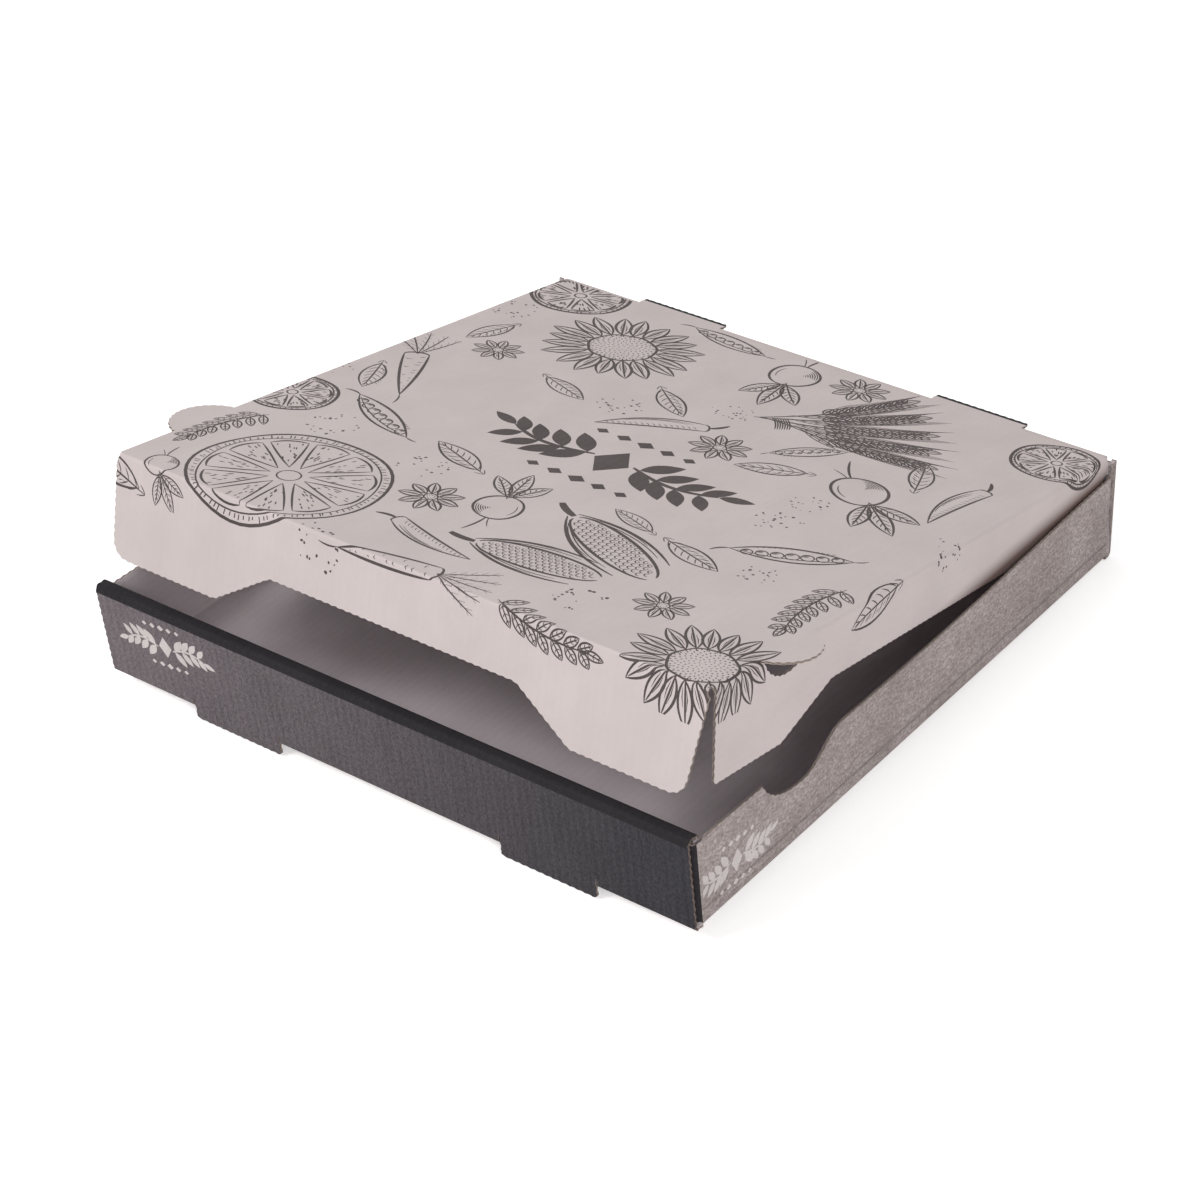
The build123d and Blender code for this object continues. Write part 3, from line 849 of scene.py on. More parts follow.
def boardFinish(name, own):
    look = {**plainLook, **own}
    material, tree, shader = newFinish(name)
    flutes = node(tree, "ShaderNodeGroup", node_tree=fluteLines)
    flutes.inputs[0].default_value = boardSheet["flutePitch"]
    flutes.inputs[1].default_value = look["uneven"]
    pulp = node(tree, "ShaderNodeGroup", node_tree=paperPulp)
    pulp.inputs[0].default_value = look["grain"]
    grain, cloud, fleck, blotch = [pulp.outputs[i] for i in range(4)]
    coloured = blended(tree, ranged(tree, cloud, 0.3, 0.7), tone(*look["dark"]), tone(*look["light"]))
    for mask, colour in (
            (calc(tree, "MULTIPLY", flutes.outputs[1], look["streak"]), "line"),
            (ranged(tree, grain, 0.35, 0.72, 0.0, look["mottle"]), "speck"),
            (ranged(tree, blotch, 0.38, 0.66, 0.0, look["blotch"]), "line"),
            (calc(tree, "MULTIPLY", fleck, look["fleck"]), "fleckColour")):
        coloured = blended(tree, mask, coloured, tone(*look[colour]))
    if "shadeAcross" in look:      # painted shade: the panel gets darker towards +x, standing in for light falling off across it
        colour, start, end = look["shadeAcross"]
        coloured = darkened(tree, ranged(tree, blankParts(tree)[0], start, end), coloured, colour)
    if "wallEdgeShade" in look:      # painted shade: darker along the slanting line where the tray wall's edge hides the flap
        colour, start, slope, reach = look["wallEdgeShade"]
        across, along = blankParts(tree)
        line = calc(tree, "ADD", calc(tree, "MULTIPLY", along, slope), start)
        past = calc(tree, "SUBTRACT", calc(tree, "ABSOLUTE", across), line)
        before = calc(tree, "POWER", ranged(tree, past, -reach, 0.0), 1.4)
        flapShade = calc(tree, "MULTIPLY", before, ranged(tree, past, 1.0, reach, 1.0, 0.0))
        coloured = darkened(tree, flapShade, coloured, colour)
    washboard = calc(tree, "MULTIPLY", flutes.outputs[0], look["wash"])
    height = calc(tree, "ADD", washboard, calc(tree, "MULTIPLY", grain, 0.35))
    if "scored" in look:      # a faint line pressed in beside the bottom crease
        away = calc(tree, "SUBTRACT", calc(tree, "ABSOLUTE", blankParts(tree)[0]), look["scored"])
        line = ranged(tree, calc(tree, "ABSOLUTE", away), 0.1, 0.9, 1.0, 0.0)
        coloured = blended(tree, calc(tree, "MULTIPLY", line, 0.55), coloured, tone(*look["speck"]))
        height = calc(tree, "SUBTRACT", height, calc(tree, "MULTIPLY", line, 1.2))
    raised(tree, shader, height, look["bump"], 0.00025)
    roughness = ranged(tree, grain, 0.3, 0.7, look["roughLow"], look["roughHigh"])
    wire(tree, (coloured, shader.inputs["Base Color"]), (roughness, shader.inputs["Roughness"]))
    shader.inputs["Specular IOR Level"].default_value = look["specular"]
    return material


def cutFinish(name, look, across):
    # raw cut edge: two liners with the flute between them, or its side where the cut runs along it; the open
    # hollows between them get painted shade
    material, tree, shader = newFinish(name)
    run, deep = blankParts(tree)
    centre = calc(tree, "SUBTRACT", deep, halfThick)
    if across:
        wave = calc(tree, "SINE", calc(tree, "MULTIPLY", run, 2 * math.pi / boardSheet["flutePitch"]))
        medium = calc(tree, "MULTIPLY", wave, thick * 0.32)
    else:
        ragged = noiseAt(tree, blankPlace(tree, 0.25, 0.2))
        medium = calc(tree, "MULTIPLY", calc(tree, "SUBTRACT", ragged, 0.5), thick)
    off = calc(tree, "ABSOLUTE", calc(tree, "SUBTRACT", centre, medium))
    liner = ranged(tree, calc(tree, "ABSOLUTE", centre), halfThick - 0.34, halfThick - 0.2)
    solid = calc(tree, "MAXIMUM", ranged(tree, off, 0.16, 0.34, 1.0, 0.0), liner)
    grain = noiseAt(tree, blankPlace(tree, 2.2, 2.2), 4.0, 0.65)
    paper = blended(tree, ranged(tree, grain, 0.3, 0.7), tone(*look["dark"]), tone(*look["light"]))
    coloured = blended(tree, solid, tone(*look["hollowShade"]), paper)
    wire(tree, (coloured, shader.inputs["Base Color"]))
    raised(tree, shader, solid, 0.6, 0.0003)
    shader.inputs["Roughness"].default_value = 0.9
    shader.inputs["Specular IOR Level"].default_value = 0.15
    return material


plainLook = {
    "uneven": 0.5, "grain": 0.5, "streak": 0.1, "mottle": 0.1, "blotch": 0.05, "fleck": 0.3, "wash": 0.5,
    "bump": 0.25, "roughLow": 0.62, "roughHigh": 0.8, "specular": 0.35,
}
looks = {
    "paleBoard": {
        "light": (206, 195, 193), "dark": (199, 188, 186), "line": (188, 177, 175), "speck": (186, 175, 173),
        "mottle": 0.16, "fleckColour": (166, 154, 150), "fleck": 0.2, "bump": 0.2, "wash": 0.4},
    "darkBoard": {
        "light": (119, 109, 113), "dark": (107, 98, 102), "line": (150, 141, 144), "speck": (46, 42, 46),
        "streak": 0.36, "uneven": 0.6, "blotch": 0.14, "mottle": 0.55, "grain": 0.9,
        "fleckColour": (150, 142, 142), "fleck": 0.35, "bump": 0.5, "wash": 0.8, "specular": 0.12,
        # painted shade, darker towards the wall's right-hand end
        "shadeAcross": ((138, 146, 151), -125.0, 112.0)},
    "stripBoard": {
        "light": (44, 41, 44), "dark": (36, 34, 37), "line": (58, 54, 56), "speck": (30, 28, 30),
        "streak": 0.2, "uneven": 0.6, "mottle": 0.3, "fleckColour": (96, 90, 90), "bump": 0.3, "wash": 0.4,
        "specular": 0.12},
    "greyBoard": {
        "light": (204, 192, 189), "dark": (174, 162, 159), "line": (118, 108, 106), "speck": (104, 95, 93),
        "streak": 0.14, "uneven": 0.9, "blotch": 0.5, "mottle": 0.75, "grain": 0.9,
        "fleckColour": (214, 205, 200), "fleck": 0.7, "bump": 0.45, "wash": 0.4, "specular": 0.2,
        "scored": 136.2},
    "innerBoard": {
        "light": (210, 200, 203), "dark": (202, 192, 195), "line": (176, 167, 170), "speck": (174, 165, 167),
        "streak": 0.2, "mottle": 0.25, "fleckColour": (140, 128, 118), "fleck": 0.35, "bump": 0.3,
        "wash": 0.6},
    "printInk": {
        "light": (84, 75, 75), "dark": (66, 59, 59), "line": (60, 54, 54), "speck": (110, 101, 99),
        "streak": 0.3, "mottle": 0.4, "fleckColour": (130, 120, 117), "bump": 0.3, "roughLow": 0.5,
        "roughHigh": 0.68, "specular": 0.15},
    "paleInk": {
        "light": (220, 212, 210), "dark": (204, 196, 194), "line": (188, 180, 178), "speck": (168, 159, 157),
        "streak": 0.2, "mottle": 0.5, "fleckColour": (134, 124, 122), "fleck": 0.5, "bump": 0.3},
}
# the tucked side flaps carry painted shade where they run down behind the tray wall's edge
looks["tuckedBoard"] = dict(looks["paleBoard"], wallEdgeShade=((150, 134, 128), 133.9, 0.1745, 7.5))
finishes = {name: boardFinish(name, look) for name, look in looks.items()}
rawEdge = {"light": (184, 171, 163), "dark": (152, 138, 130), "hollowShade": (108, 95, 88)}
wornEdge = {"light": (142, 126, 118), "dark": (108, 94, 88), "hollowShade": (66, 56, 53)}
for name, look, across in (
        ("rawEdgeAcross", rawEdge, True), ("rawEdgeAlong", rawEdge, False), ("wornEdge", wornEdge, False)):
    finishes[name] = cutFinish(name, look, across)
finishOrder = list(finishes)


def dressed(piece, body, slotName, *stands):
    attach(piece, body)
    if stands:
        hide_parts(*stands)
    return piece


def finishPicker(outside, ink="printInk"):
    known = {"ink": ink, "inside": "innerBoard", "cutAcross": "rawEdgeAcross", "cutAlong": "rawEdgeAlong"}
    return lambda x, y, tag, side: known.get(side) or outside(x, y, tag)


# The lid: panel, two side flaps with their ears, two back tongues.
print("folding the lid")
lidShape = {
    "frontGap": 0.7, "backGap": 0.5, "flapGap": 0.6, "flapEnd": 6.0, "seatBevel": 0.3,
    "flapDeep": 163.64, "flapShallow": 149.84, "deepLength": 43.0, "slopeRun": 28.0, "frontTaper": (1.5, 4.5),
    "cornerRound": 1.5, "slopeRound": 5.0, "rearRun": 6.0, "shoulder": (8.0, 4.0), "shoulderRise": 3.6,
    "shoulderRound": 2.0, "relief": (1.0, 0.7),
    "earY": -82.1, "earHalf": 15.5, "earReach": 10.3, "earSteps": 32, "notchExtra": 1.14,
    "tongueHalf": 20.25, "tongueReach": 5.8, "tipRound": 1.3, "tongueStrip": hingeY + 3.7,
}
top = boxSize["backHeight"]
lidHalf = boxSize["lidWidth"] / 2
lidPath, lidLength = foldPath([(-lidHalf, 0), (-lidHalf, top), (lidHalf, top), (lidHalf, 0)])
lidMiddle = lidLength / 2
lidFront, lidBack = flapAxisY + lidShape["frontGap"], hingeY - lidShape["backGap"]
flapFront = flapAxisY + halfThick + lidShape["flapGap"]
flapBack = hingeY - lidShape["flapEnd"]


def lidOutline():
    s = lidShape
    folded = foldStart + quarterBend
    slopeStart = flapFront + s["deepLength"]

    def oneSide(taper):
        return [
            (foldStart, lidFront), (foldStart, flapFront),
            (s["flapDeep"], flapFront + taper, s["cornerRound"]),
            (s["flapDeep"], slopeStart, s["slopeRound"]),
            (s["flapShallow"], slopeStart + s["slopeRun"], s["slopeRound"]),
            (s["flapShallow"], flapBack - s["rearRun"], s["slopeRound"]),
            (folded + s["shoulder"][0], flapBack, s["shoulderRound"]),
            (folded + s["shoulder"][1], flapBack + s["shoulderRise"], s["shoulderRound"]),
            (folded, lidBack - s["relief"][0]), (foldStart, lidBack - s["relief"][1]), (foldStart, lidBack),
        ]
    ends = [(c + way * s["tongueHalf"], lidBack) for c in reversed(tongueCentres) for way in (1, -1)]
    leftTaper, rightTaper = s["frontTaper"]
    outline = rounded(oneSide(rightTaper) + ends + otherSide(oneSide(leftTaper)))
    return wavyCut(outline, lambda x, y: y < lidFront + nearly or abs(x) < foldStart + nearly)


def halfRound(base, reach, root):
    # a half-round standing on the line x = base, bulging to +x
    s = lidShape
    half, steps = s["earHalf"], s["earSteps"]
    radius = (half * half + reach * reach) / (2 * reach)
    centre = base + root + reach - radius
    sweep = math.asin(half / radius)
    turns = [-sweep + 2 * sweep * k / steps for k in range(steps + 1)]
    bow = [(centre + radius * math.cos(a), s["earY"] + radius * math.sin(a)) for a in turns]
    return [(base, s["earY"] - half)] + bow + [(base, s["earY"] + half)]


def mirrored(points):
    return counterclockwise([(-x, y) for x, y in points])


def placeLid(x, y, w, tag):
    if tag == "flat":      # ears and tongues stay in the lid's plane
        return onLid((x, y, top - w))
    if y < lidFront + nearly:
        y += lidShape["seatBevel"] * w
    at = alongPath(lidPath, x + lidMiddle, w)
    return onLid((at.x, y, at.y))


def buildLid():
    s = lidShape
    ink = [[(x, hingeY - v) for x, v in mark] for mark in printMarks]
    notch = halfRound(foldStart, s["earReach"] + s["notchExtra"], 0)
    notch = wavyCut(notch, lambda x, y: abs(x) < foldStart + nearly)
    ear = halfRound(foldStart, s["earReach"], outerRound)

    def earBase(x, y):
        return touches(abs(x), foldStart) and abs(y - s["earY"]) < s["earHalf"]

    def tongueBase(x, y):
        return touches(y, lidBack) and overTongue(x, s["tongueHalf"])
    regions = [{"outline": lidOutline(), "holes": [notch, mirrored(notch)], "ink": ink,
                "lines": linesAlong(u - lidMiddle for u in bendLines(lidPath)),
                "joined": lambda x, y: earBase(x, y) or tongueBase(x, y)}]
    for shape in (ear, mirrored(ear)):
        outline = wavyCut(shape, lambda x, y: abs(x) < foldStart + outerRound + nearly)
        regions.append({"outline": outline, "ink": ink, "tag": "flat", "joined": earBase, "grid": False})
    for c in tongueCentres:
        right, left, far = c + s["tongueHalf"], c - s["tongueHalf"], hingeY + s["tongueReach"]
        corners = [(left, lidBack), (right, lidBack), (right, far, s["tipRound"]), (left, far, s["tipRound"])]
        outline = wavyCut(rounded(corners), lambda x, y: y < lidBack + nearly)
        regions.append({"outline": outline, "ink": ink, "tag": "flat", "joined": tongueBase, "grid": False,
                        "lines": linesAcross([s["tongueStrip"]])})

    def outside(x, y, tag):
        # side flaps take the board with painted shade along the tray wall's edge
        if tag != "flat" and abs(x) > foldStart:
            return "tuckedBoard"
        return "stripBoard" if y > s["tongueStrip"] else "paleBoard"
    return boardPiece("lidBoard", regions, placeLid, finishPicker(outside), lambda x, y: (x, hingeY - y))


lidBoard = dressed(buildLid(), "lid", "lid_board", "lid")
print("lid faces", len(lidBoard.data.polygons))


# The front flap: deep at both ends, shallow between.
print("folding the front flap")
flapShape = {
    "depth": 38.7, "shallow": 23.2, "endLength": 50.0, "slopeRun": 24.0, "sideInset": 0.5, "shoulder": 2.5,
    "endTaper": (1.0, 4.6), "cornerRound": 7.0, "slopeRound": 5.0, "seatBevel": 0.5,
}
creaseArc = halfThick * math.radians(90 - boxSize["flapSplay"])
flapStartV = boxSize["lidReach"] + creaseArc


def inkBeyond(v):
    return [mark for mark in printMarks if max(p[1] for p in mark) > v - 1]


def placeFlap(x, d, w, tag):
    if d < nearly:
        d += flapShape["seatBevel"] * w
    return onFlap((x, flapAxisY - halfThick + w, hingeZ - d))


def buildFlap():
    s = flapShape
    half = lidHalf - s["sideInset"]
    deepTo = half - s["endLength"]

    def oneSide(taper):
        return [(foldStart, 0.0), (half, s["shoulder"]),
                (half - taper, s["depth"], s["cornerRound"]), (deepTo, s["depth"], s["slopeRound"]),
                (deepTo - s["slopeRun"], s["shallow"], s["slopeRound"])]
    leftTaper, rightTaper = s["endTaper"]
    outline = wavyCut(rounded(oneSide(rightTaper) + otherSide(oneSide(leftTaper))), lambda x, y: y < nearly)
    ink = [[(x, v - flapStartV) for x, v in mark] for mark in inkBeyond(flapStartV)]
    pick = finishPicker(lambda x, y, tag: "paleBoard")
    return boardPiece("frontFlapBoard", [{"outline": outline, "ink": ink}], placeFlap, pick,
                      lambda x, y: (x, flapStartV + y), flip=True)


dressed(buildFlap(), "lid_front_flap", "lid_board", "lid_front_flap")


# The tray: floor with side walls, doubled front wall, back wall and four corner flaps.
print("folding the tray")
trayShape = {
    "floorEnd": 3.9, "joinedUp": 3.0, "wavyFrom": 20.0, "printStart": 0.6,
    "bulge": 2.2, "bulgeHalf": 118.0, "bulgeWithin": 4.0, "bulgeAbove": 2.0,
    "bulgeRise": 1.3, "bulgeRun": 1.2,
    "dipNear": 37.5, "dipLow": 61.0, "dipFar": 84.0, "dipDepth": 11.5, "dipEase": (0.23, 0.4, 0.43),
    "dipSteps": 14, "slotHalf": 20.75, "slotBack": 5.9, "slotRise": 2.1,
    "tongueHalf": 20.25, "tongueDrop": 6.82, "tipRound": 1.3,
    "footDepth": 5.4, "innerInset": 2.5, "innerLift": 0.2, "tabHalf": 19.25, "tabReach": 1.5, "stripLap": 3.2,
    "printEdges": (1.5, 0.8, 4.5), "wornEnd": 1.0,
}
backShape = {
    "creaseDrop": 1.154, "windowDrop": 6.36, "notchGap": 0.15, "postDrop": 0.8, "straightBelow": 6.0,
    "printEnd": 40.5, "printedEnd": 2.2,
}
cornerShape = {"length": 45.0, "height": 33.0, "lift": 2.4, "taper": 7.0, "round": 4.0, "stub": 3.0}
badgeShape = {
    "rise": 2.2, "turn": 4, "size": 0.44, "sideDown": 18, "sideY": -112, "frontX": -99, "frontUp": 19,
}
trayHalf = boxSize["trayWidth"] / 2
side = boxSize["sideHeight"]
floorFront = frontFoot + trayShape["floorEnd"]
floorBack = backFace - trayShape["floorEnd"]
sidePath, sideLength = foldPath([(trayHalf, side), (trayHalf, 0), (-trayHalf, 0), (-trayHalf, side)])
wallTop = sideLength / 2
leafBadge = moved(laurelMark(), 0, badgeShape["rise"], badgeShape["turn"], badgeShape["size"])


def bulged(point):
    # long side walls bow outwards between their ends, most at the top
    s = trayShape
    x, y, z = point
    if abs(x) > trayHalf - s["bulgeWithin"] and z > s["bulgeAbove"]:
        t = min(1.0, max(0.0, (y + s["bulgeHalf"]) / (2 * s["bulgeHalf"])))
        swell = (z / side) ** s["bulgeRise"] * math.sin(math.pi * t) ** s["bulgeRun"]
        x += math.copysign(s["bulge"] * swell, x)
    return (x, y, z)


def placeSides(x, y, w, tag):
    at = alongPath(sidePath, wallTop - x, w)
    return onTray(bulged((at.x, y, at.y)))


def sideOutline():
    s = trayShape
    low, steps = wallTop - s["dipDepth"], s["dipSteps"]
    near, bottom, far = (frontFoot + s[key] for key in ("dipNear", "dipLow", "dipFar"))
    ease = s["dipEase"]
    dip = curve((wallTop, near), (low, near + ease[0] * (bottom - near)), (low, bottom), steps)
    pulls = ((low, bottom), (low, bottom + ease[1] * (far - bottom)),
             (wallTop, far - ease[2] * (far - bottom)), (wallTop, far))
    for t in [k / steps for k in range(1, steps + 1)]:
        dip.append(tuple((1 - t) ** 3 * p + 3 * t * (1 - t) ** 2 * q + 3 * t * t * (1 - t) * r + t ** 3 * o
                         for p, q, r, o in zip(*pulls)))
    right = [(wallTop, floorFront)] + dip + [(wallTop, floorBack)]
    slots = stepsAt(tongueCentres, s["slotHalf"], floorFront, frontFoot + s["slotBack"])
    return right + otherSide(right) + slots


def buildSides():
    s = trayShape
    fromPrint = trayHalf - s["printStart"]
    badge = []
    for way in (1, -1):      # small pale ornament where the walls carry print
        badge += moved(leafBadge, way * (wallTop - badgeShape["sideDown"]), badgeShape["sideY"], way * 90)

    def atEnd(y):
        return abs(y) > abs(floorFront) - nearly
    outline = wavyCut(sideOutline(), lambda x, y: atEnd(y) or abs(x) < wallTop - s["wavyFrom"])
    region = {"outline": outline, "ink": badge,
              "joined": lambda x, y: atEnd(y) and abs(x) < trayHalf + s["joinedUp"],
              "lines": linesAlong([wallTop - u for u in bendLines(sidePath)] + [fromPrint, -fromPrint])}
    pick = finishPicker(lambda x, y, tag: "greyBoard" if abs(x) > fromPrint else "paleBoard", "paleInk")
    return boardPiece("floorAndSides", [region], placeSides, pick, lambda x, y: (x, y), flip=True)


dressed(buildSides(), "tray", "tray_board", "tray")

frontTop = (frontFoot - boxSize["frontOverhang"], boxSize["frontHeight"])
innerTop = frontTop[0] + boxSize["topStrip"]
innerFoot = frontFoot + trayShape["footDepth"]
frontPath, frontLength = foldPath([(floorFront, 0), (frontFoot, 0), frontTop, (innerTop, frontTop[1]),
                                   (innerFoot, thick + trayShape["innerLift"])])
wallRun = [i for i, piece in enumerate(frontPath) if piece[0] == "run"][1]
wallStart, stripStart, stripEnd = (frontPath[wallRun + i][1] for i in (0, 1, 3))


def placeFront(x, s, w, tag):
    at = alongPath(frontPath, s, w, wallRun if tag == "tongue" else None)
    return onTray((x, at.x, at.y))


def buildFront():
    t = trayShape
    stripFoot = stripEnd + t["stripLap"]
    inner = trayHalf - t["innerInset"]
    slotTop = wallStart + t["slotRise"]
    wide, narrow = t["slotHalf"], t["tongueHalf"]
    corners = [(-trayHalf, 0)]
    for c in tongueCentres:
        corners += [(c - wide, 0), (c - wide, slotTop), (c - narrow, slotTop),
                    (c + narrow, slotTop), (c + wide, slotTop), (c + wide, 0)]
    corners += [(trayHalf, 0), (trayHalf, stripFoot), (inner, stripFoot), (inner, frontLength)]
    corners += stepsAt(reversed(tongueCentres), -t["tabHalf"], frontLength, frontLength + t["tabReach"])
    corners += [(-inner, frontLength), (-inner, stripFoot), (-trayHalf, stripFoot)]

    def base(x, s):
        return touches(s, slotTop) and overTongue(x, narrow)
    foot, crown, lap = t["printEdges"]
    borders = (wallStart - foot, stripStart - crown, stripEnd + lap)
    badge = moved(leafBadge, badgeShape["frontX"], wallStart + badgeShape["frontUp"])
    regions = [{"outline": wavyCut(corners, lambda x, s: s < slotTop + nearly), "ink": badge,
                "lines": linesAcross(bendLines(frontPath) + list(borders)),
                "joined": lambda x, s: base(x, s) or s < nearly / 2}]
    tip = wallStart - t["tongueDrop"]
    for c in tongueCentres:
        right, left = c + narrow, c - narrow
        tongue = rounded([(left, tip, t["tipRound"]), (right, tip, t["tipRound"]),
                          (right, slotTop), (left, slotTop)])
        regions.append({"outline": wavyCut(tongue, lambda x, s: s > slotTop - nearly), "tag": "tongue",
                        "joined": base, "grid": False})

    def outside(x, s, tag):
        if s < borders[0] and tag != "tongue":
            return "paleBoard"
        if s < borders[1]:
            return "darkBoard"
        return "stripBoard" if s < borders[2] else "paleBoard"
    pick = finishPicker(outside, "paleInk")

    def finish(x, s, tag, face):      # the wall's two ends get a darker brown cut edge
        worn = face.startswith("cut") and abs(x) > trayHalf - t["wornEnd"] and borders[0] < s < borders[2]
        return "wornEdge" if worn else pick(x, s, tag, face)
    return boardPiece("frontWall", regions, placeFront, finish, lambda x, s: (x, s))


dressed(buildFront(), "tray", "tray_board", "tray")

backPath, backLength = foldPath([(backFace, top), (backFace, 0), (floorBack, 0)])


def placeBack(x, s, w, tag):
    at = alongPath(backPath, s, w)
    return onTray((x, at.x, at.y))


def buildBack():
    t = backShape
    crease, window = (top - (hingeZ - t[key]) for key in ("creaseDrop", "windowDrop"))
    notch, post, printEnd = lidHalf + t["notchGap"], t["postDrop"], t["printEnd"]
    corners = [(trayHalf, post), (trayHalf, backLength), (-trayHalf, backLength), (-trayHalf, post),
               (-notch, post), (-notch, crease)]
    corners += stepsAt(tongueCentres, trayShape["slotHalf"], crease, window)
    corners += [(notch, crease), (notch, post)]
    outline = wavyCut(corners, lambda x, s: s > t["straightBelow"] or abs(x) > lidHalf)
    region = {"outline": outline, "lines": linesAcross(bendLines(backPath) + [printEnd]),
              "joined": lambda x, s: s > backLength - nearly / 2}
    pick = finishPicker(lambda x, s, tag: "darkBoard" if s < printEnd else "paleBoard")

    def finish(x, s, tag, face):      # the wall's ends inside are printed like the side walls they close
        printed = face == "inside" and abs(x) > trayHalf - t["printedEnd"] and s > top - side
        return "greyBoard" if printed else pick(x, s, tag, face)
    return boardPiece("backWall", [region], placeBack, finish, lambda x, s: (x, -s), flip=True)


dressed(buildBack(), "tray", "tray_board", "tray")


def cornerFlap(name, front, rightSide):
    t = cornerShape
    way, slope, foldY, stub = 1, 0.0, backFace - thick - boxSize["layerGap"], floorBack
    if front:      # these lean with the front wall
        foot = frontFoot + trayShape["footDepth"] / 2 - halfThick
        crown = frontTop[0] + boxSize["topStrip"] / 2 - halfThick
        way, slope, stub = -1, (foot - crown) / boxSize["frontHeight"], floorFront
        foldY = foot - t["lift"] * slope
    # along the path: a stub of more wall than shows, then the bend, then the flap
    reach = abs(foldY - stub) + t["stub"]
    path = foldPath([(0, 0), (reach, 0), (reach, -t["length"])])[0]
    bendStart, bendEnd = path[1][1], path[2][1]
    free, low, high = bendEnd + t["length"] - outerRound, t["lift"], t["height"]

    def lean(z):
        return (z - t["lift"]) * slope
    corners = [(t["stub"], low), (bendEnd, low), (free, low + t["taper"], t["round"]),
               (free, high - t["taper"], t["round"]), (bendEnd, high), (bendEnd, side),
               (t["stub"] - lean(side), side)]

    def place(s, z, w, tag):
        at = alongPath(path, s, w)
        x, y = trayHalf + at.y, foldY + way * (at.x - reach) - lean(z)
        return onTray(bulged((x if rightSide else -x, y, z)))
    region = {"outline": wavyCut(rounded(corners), lambda s, z: s < t["stub"] + nearly),
              "lines": linesAlong(bendLines(path)), "joined": lambda s, z: s < t["stub"] + nearly and z > 0}
    # past the bend the front corner flaps take the dark strip finish as painted shade, for the shadowed
    # groove beside the front wall's end
    pick = finishPicker(lambda s, z, tag: "stripBoard" if front and s > bendStart else "greyBoard")
    piece = boardPiece(name, [region], place, pick, lambda s, z: (z, s), flip=(front == rightSide))
    dressed(piece, "tray", "tray_board", "tray")


cornerFlap("frontCornerFlapRight", True, True)
cornerFlap("frontCornerFlapLeft", True, False)
cornerFlap("backCornerFlapRight", False, True)
cornerFlap("backCornerFlapLeft", False, False)


# Creases of the two moving joints: a bead on the moving panel, and the outer liner running over it.
print("laying the creases")
creaseShape = {
    "skin": 0.05, "proud": 0.004, "lap": 1.3, "backLap": 1.9, "folds": 6, "printShare": 0.6, "sides": 24,
    "beadStep": 0.2,
}


def creaseBead(name, axisY, place, body):
    mesh = bmesh.new()
    uv = mesh.loops.layers.uv.new("blank")
    n = creaseShape["sides"]
    turns = [2 * math.pi * k / n for k in range(n)]
    rings = []
    for x in (-foldStart, foldStart):
        rim = [(x, axisY + halfThick * math.cos(a), hingeZ + halfThick * math.sin(a)) for a in turns]
        rings.append([mesh.verts.new(place(point)) for point in rim])
    for k in range(n):
        m = (k + 1) % n
        face = mesh.faces.new([rings[0][k], rings[0][m], rings[1][m], rings[1][k]])
        for loop, (x, a) in zip(face.loops, ((-1, k), (-1, k + 1), (1, k + 1), (1, k))):
            loop[uv].uv = (x * foldStart * mm, a * creaseShape["beadStep"] * mm)
    mesh.faces.new(rings[0][::-1])
    mesh.faces.new(rings[1])
    bmesh.ops.recalc_face_normals(mesh, faces=mesh.faces)
    piece = meshPiece(name, mesh)
    piece.data.materials.append(finishes["paleBoard"])
    dressed(piece, body, "lid_board")


creaseBead("backCreaseBead", hingeY, onLid, "lid")
creaseBead("frontCreaseBead", flapAxisY, onFlap, "lid_front_flap")


def wrapped(s, arcLength, angle, proud=0.0):
    # how far forward of a crease's axis its liner is, and how far out, at s past the start of the bend
    a = math.radians(angle * min(1.0, s / arcLength))
    beyond = max(0.0, s - arcLength)
    r = halfThick + proud
    return r * math.sin(a) + beyond * math.cos(a), r * math.cos(a) - beyond * math.sin(a)


def skinRegion(x0, x1, y0, y1, start, arcLength, ink=()):
    folds = creaseShape["folds"]
    return {"outline": [(x0, y0), (x1, y0), (x1, y1), (x0, y1)], "ink": ink, "grid": False,
            "lines": linesAcross(start + arcLength * k / folds for k in range(folds + 1))}


def frontSkin():
    reach, skin = boxSize["lidReach"], creaseShape["skin"]
    angle = 90 - boxSize["flapSplay"]

    def place(x, v, w, tag):
        proud = skin + creaseShape["proud"] - w
        if v < reach:
            return onLid((x, hingeY - v, top + proud))
        ahead, out = wrapped(v - reach, creaseArc, angle, proud)
        return onLid((x, flapAxisY - ahead, hingeZ + out))
    low, high = reach - creaseShape["lap"], reach + creaseArc + creaseShape["lap"]
    region = skinRegion(-foldStart, foldStart, low, high, reach, creaseArc, inkBeyond(low))
    piece = boardPiece("frontCreaseSkin", [region], place, finishPicker(lambda x, y, tag: "paleBoard"),
                       lambda x, v: (x, v), depth=skin, flip=True)
    ahead, out = wrapped(creaseArc, creaseArc, angle)
    onLid((0, flapAxisY, hingeZ + halfThick))
    onLid((0, flapAxisY - ahead, hingeZ + out))
    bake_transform(piece)


frontSkin()


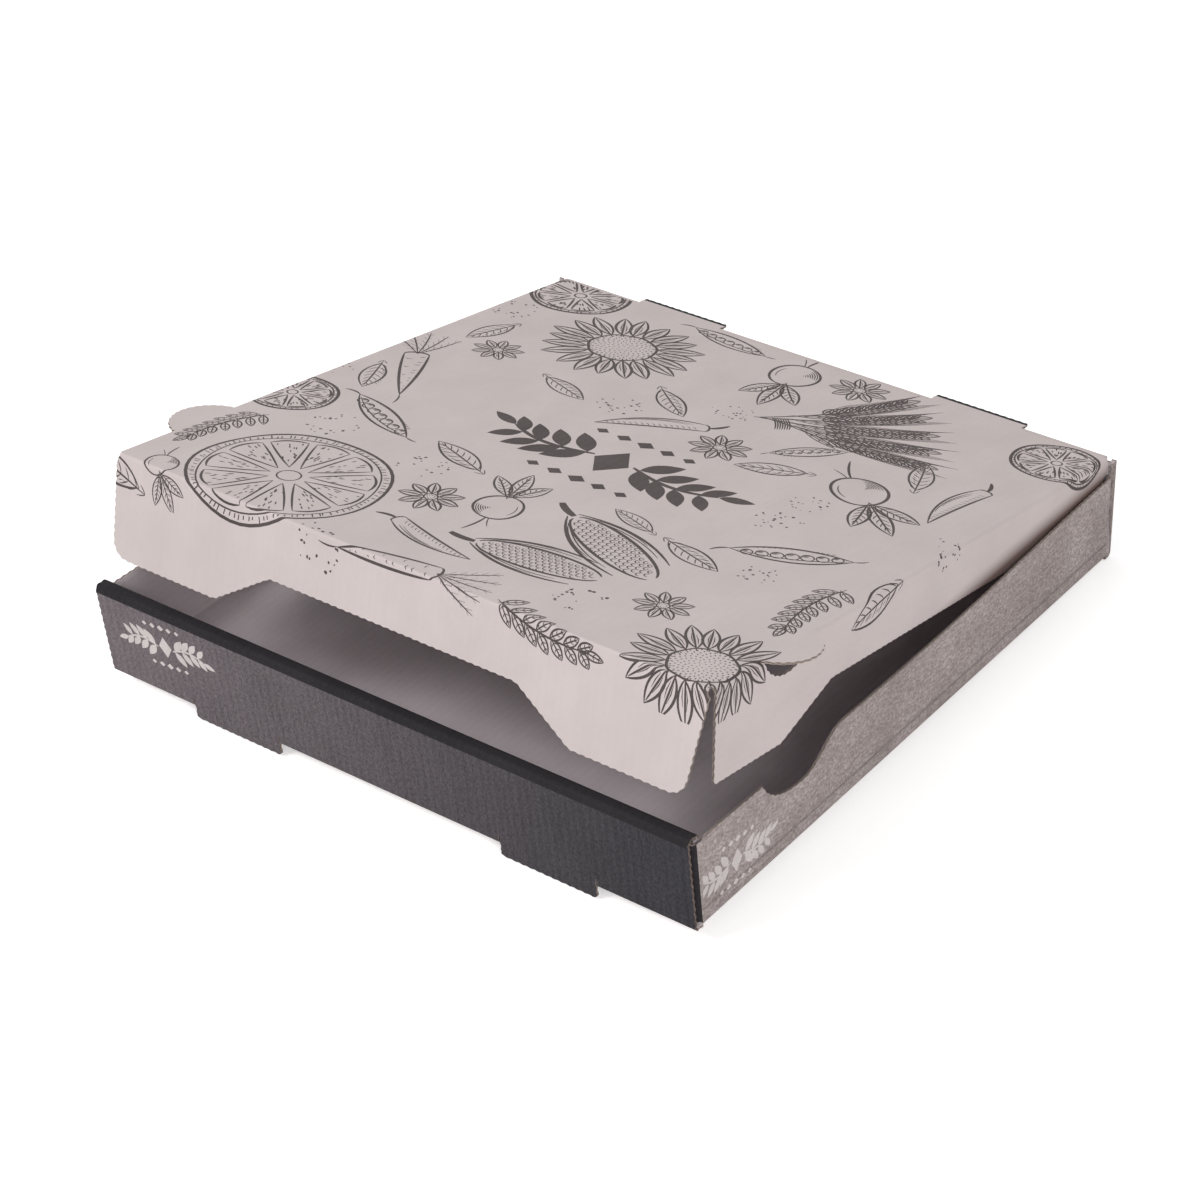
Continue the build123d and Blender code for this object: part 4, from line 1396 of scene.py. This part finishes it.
def backSkin():
    skin, angle = creaseShape["skin"], 90 - boxSize["lidOpen"]
    arcLength = halfThick * math.radians(angle)

    def place(x, s, w, tag):
        proud = skin + creaseShape["proud"] - w
        if s < 0:
            return onTray((x, backFace + proud, hingeZ + s))
        ahead, out = wrapped(s, arcLength, angle, proud)
        return onTray((x, hingeY + out, hingeZ + ahead))
    low, high = -creaseShape["backLap"], arcLength + creaseShape["lap"]
    slotEnds = [c + way * trayShape["slotHalf"] for c in tongueCentres for way in (-1, 1)]
    starts, stops = [-foldStart] + slotEnds[1::2], slotEnds[::2] + [foldStart]
    regions = [skinRegion(a, b, low, high, 0.0, arcLength) for a, b in zip(starts, stops)]
    printTo = arcLength * creaseShape["printShare"]
    pick = finishPicker(lambda x, s, tag: "darkBoard" if s < printTo else "paleBoard")
    piece = boardPiece("backCreaseSkin", regions, place, pick, lambda x, s: (x, -s), depth=skin)
    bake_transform(piece)


backSkin()


# Stage: pale floor, soft light, the photograph's camera.
print("setting the stage")
studio = {
    "camera": (0.5903655, -0.7560766, 0.6712336), "yaw": -38.4492, "pitch": 34.6509, "roll": -2.8608,
    "lens": 94.474,
    "floorHalf": 6.0, "floorLevel": -0.0003, "floorColours": ((250, 249, 249), (254, 253, 253)),
    "worldLevel": 0.34, "floorGlow": 0.42, "aim": (0, 0, 0.03),
    # place, size, watts
    "lamps": [((-1.1, -1.67, 2.07), 0.9, 31.5), ((-0.3, 0.3, 1.5), 1.2, 5.2), ((1.7, -1.1, 1.0), 1.0, 20.0)],
}


def layFloor():
    h, level = studio["floorHalf"], studio["floorLevel"]
    data = bpy.data.meshes.new("studioFloor")
    data.from_pydata([(-h, -h, level), (h, -h, level), (h, h, level), (-h, h, level)], [], [(0, 1, 2, 3)])
    floor = linked("studioFloor", data)
    material, tree, shader = newFinish("studioPaper")
    grain = node(tree, "ShaderNodeTexNoise")
    grain.inputs["Scale"].default_value = 40
    dull, bright = (tone(*colour) for colour in studio["floorColours"])
    paper = blended(tree, ranged(tree, grain.outputs["Fac"], 0.3, 0.7), dull, bright)
    rays = node(tree, "ShaderNodeLightPath")      # the camera sees the paper as plain white, shadow and all
    glow = calc(tree, "MULTIPLY", rays.outputs["Is Camera Ray"], studio["floorGlow"])
    wire(tree, (paper, shader.inputs["Base Color"]), (glow, shader.inputs["Emission Strength"]))
    shader.inputs["Roughness"].default_value = 0.9
    shader.inputs["Specular IOR Level"].default_value = 0.1
    shader.inputs["Emission Color"].default_value = (1, 1, 1, 1)
    floor.data.materials.append(material)


def hangLamps():
    for i, (place, size, watts) in enumerate(studio["lamps"]):
        data = bpy.data.lights.new(f"softBox{i}", "AREA")
        data.shape, data.size, data.energy = "SQUARE", size, watts
        lamp = linked(f"softBox{i}", data)
        lamp.location = place
        lamp.rotation_mode = "QUATERNION"
        lamp.rotation_quaternion = (Vector(studio["aim"]) - Vector(place)).to_track_quat("-Z", "Y")


def openSky():
    world = bpy.data.worlds.new("studioWorld")
    bpy.context.scene.world = world
    world.use_nodes = True
    tree = world.node_tree
    sky = tree.nodes["Background"]
    rays = node(tree, "ShaderNodeLightPath")
    seen = calc(tree, "MAXIMUM", rays.outputs["Is Camera Ray"], rays.outputs["Is Transmission Ray"])
    seen = calc(tree, "MAXIMUM", seen, rays.outputs["Is Glossy Ray"])
    wire(tree, (ranged(tree, seen, 0, 1, studio["worldLevel"], 1.0), sky.inputs["Strength"]))
    sky.inputs["Color"].default_value = (1, 1, 1, 1)


def placeCamera():
    yaw, pitch, roll = (math.radians(studio[k]) for k in ("yaw", "pitch", "roll"))
    ahead = Vector((math.sin(yaw) * math.cos(pitch), math.cos(yaw) * math.cos(pitch), -math.sin(pitch)))
    right0 = Vector((math.cos(yaw), -math.sin(yaw), 0))
    up0 = right0.cross(ahead)
    right = right0 * math.cos(roll) + up0 * math.sin(roll)
    up = up0 * math.cos(roll) - right0 * math.sin(roll)
    data = bpy.data.cameras.new("photoCamera")
    data.lens, data.sensor_width = studio["lens"], 36.0
    data.clip_start, data.clip_end = 0.05, 20
    camera = linked("photoCamera", data)
    turn = Matrix((right, up, -ahead)).transposed().to_4x4()
    camera.matrix_world = Matrix.Translation(studio["camera"]) @ turn
    bpy.context.scene.camera = camera


layFloor()
hangLamps()
openSky()
placeCamera()
bpy.context.scene.view_settings.view_transform = "Standard"
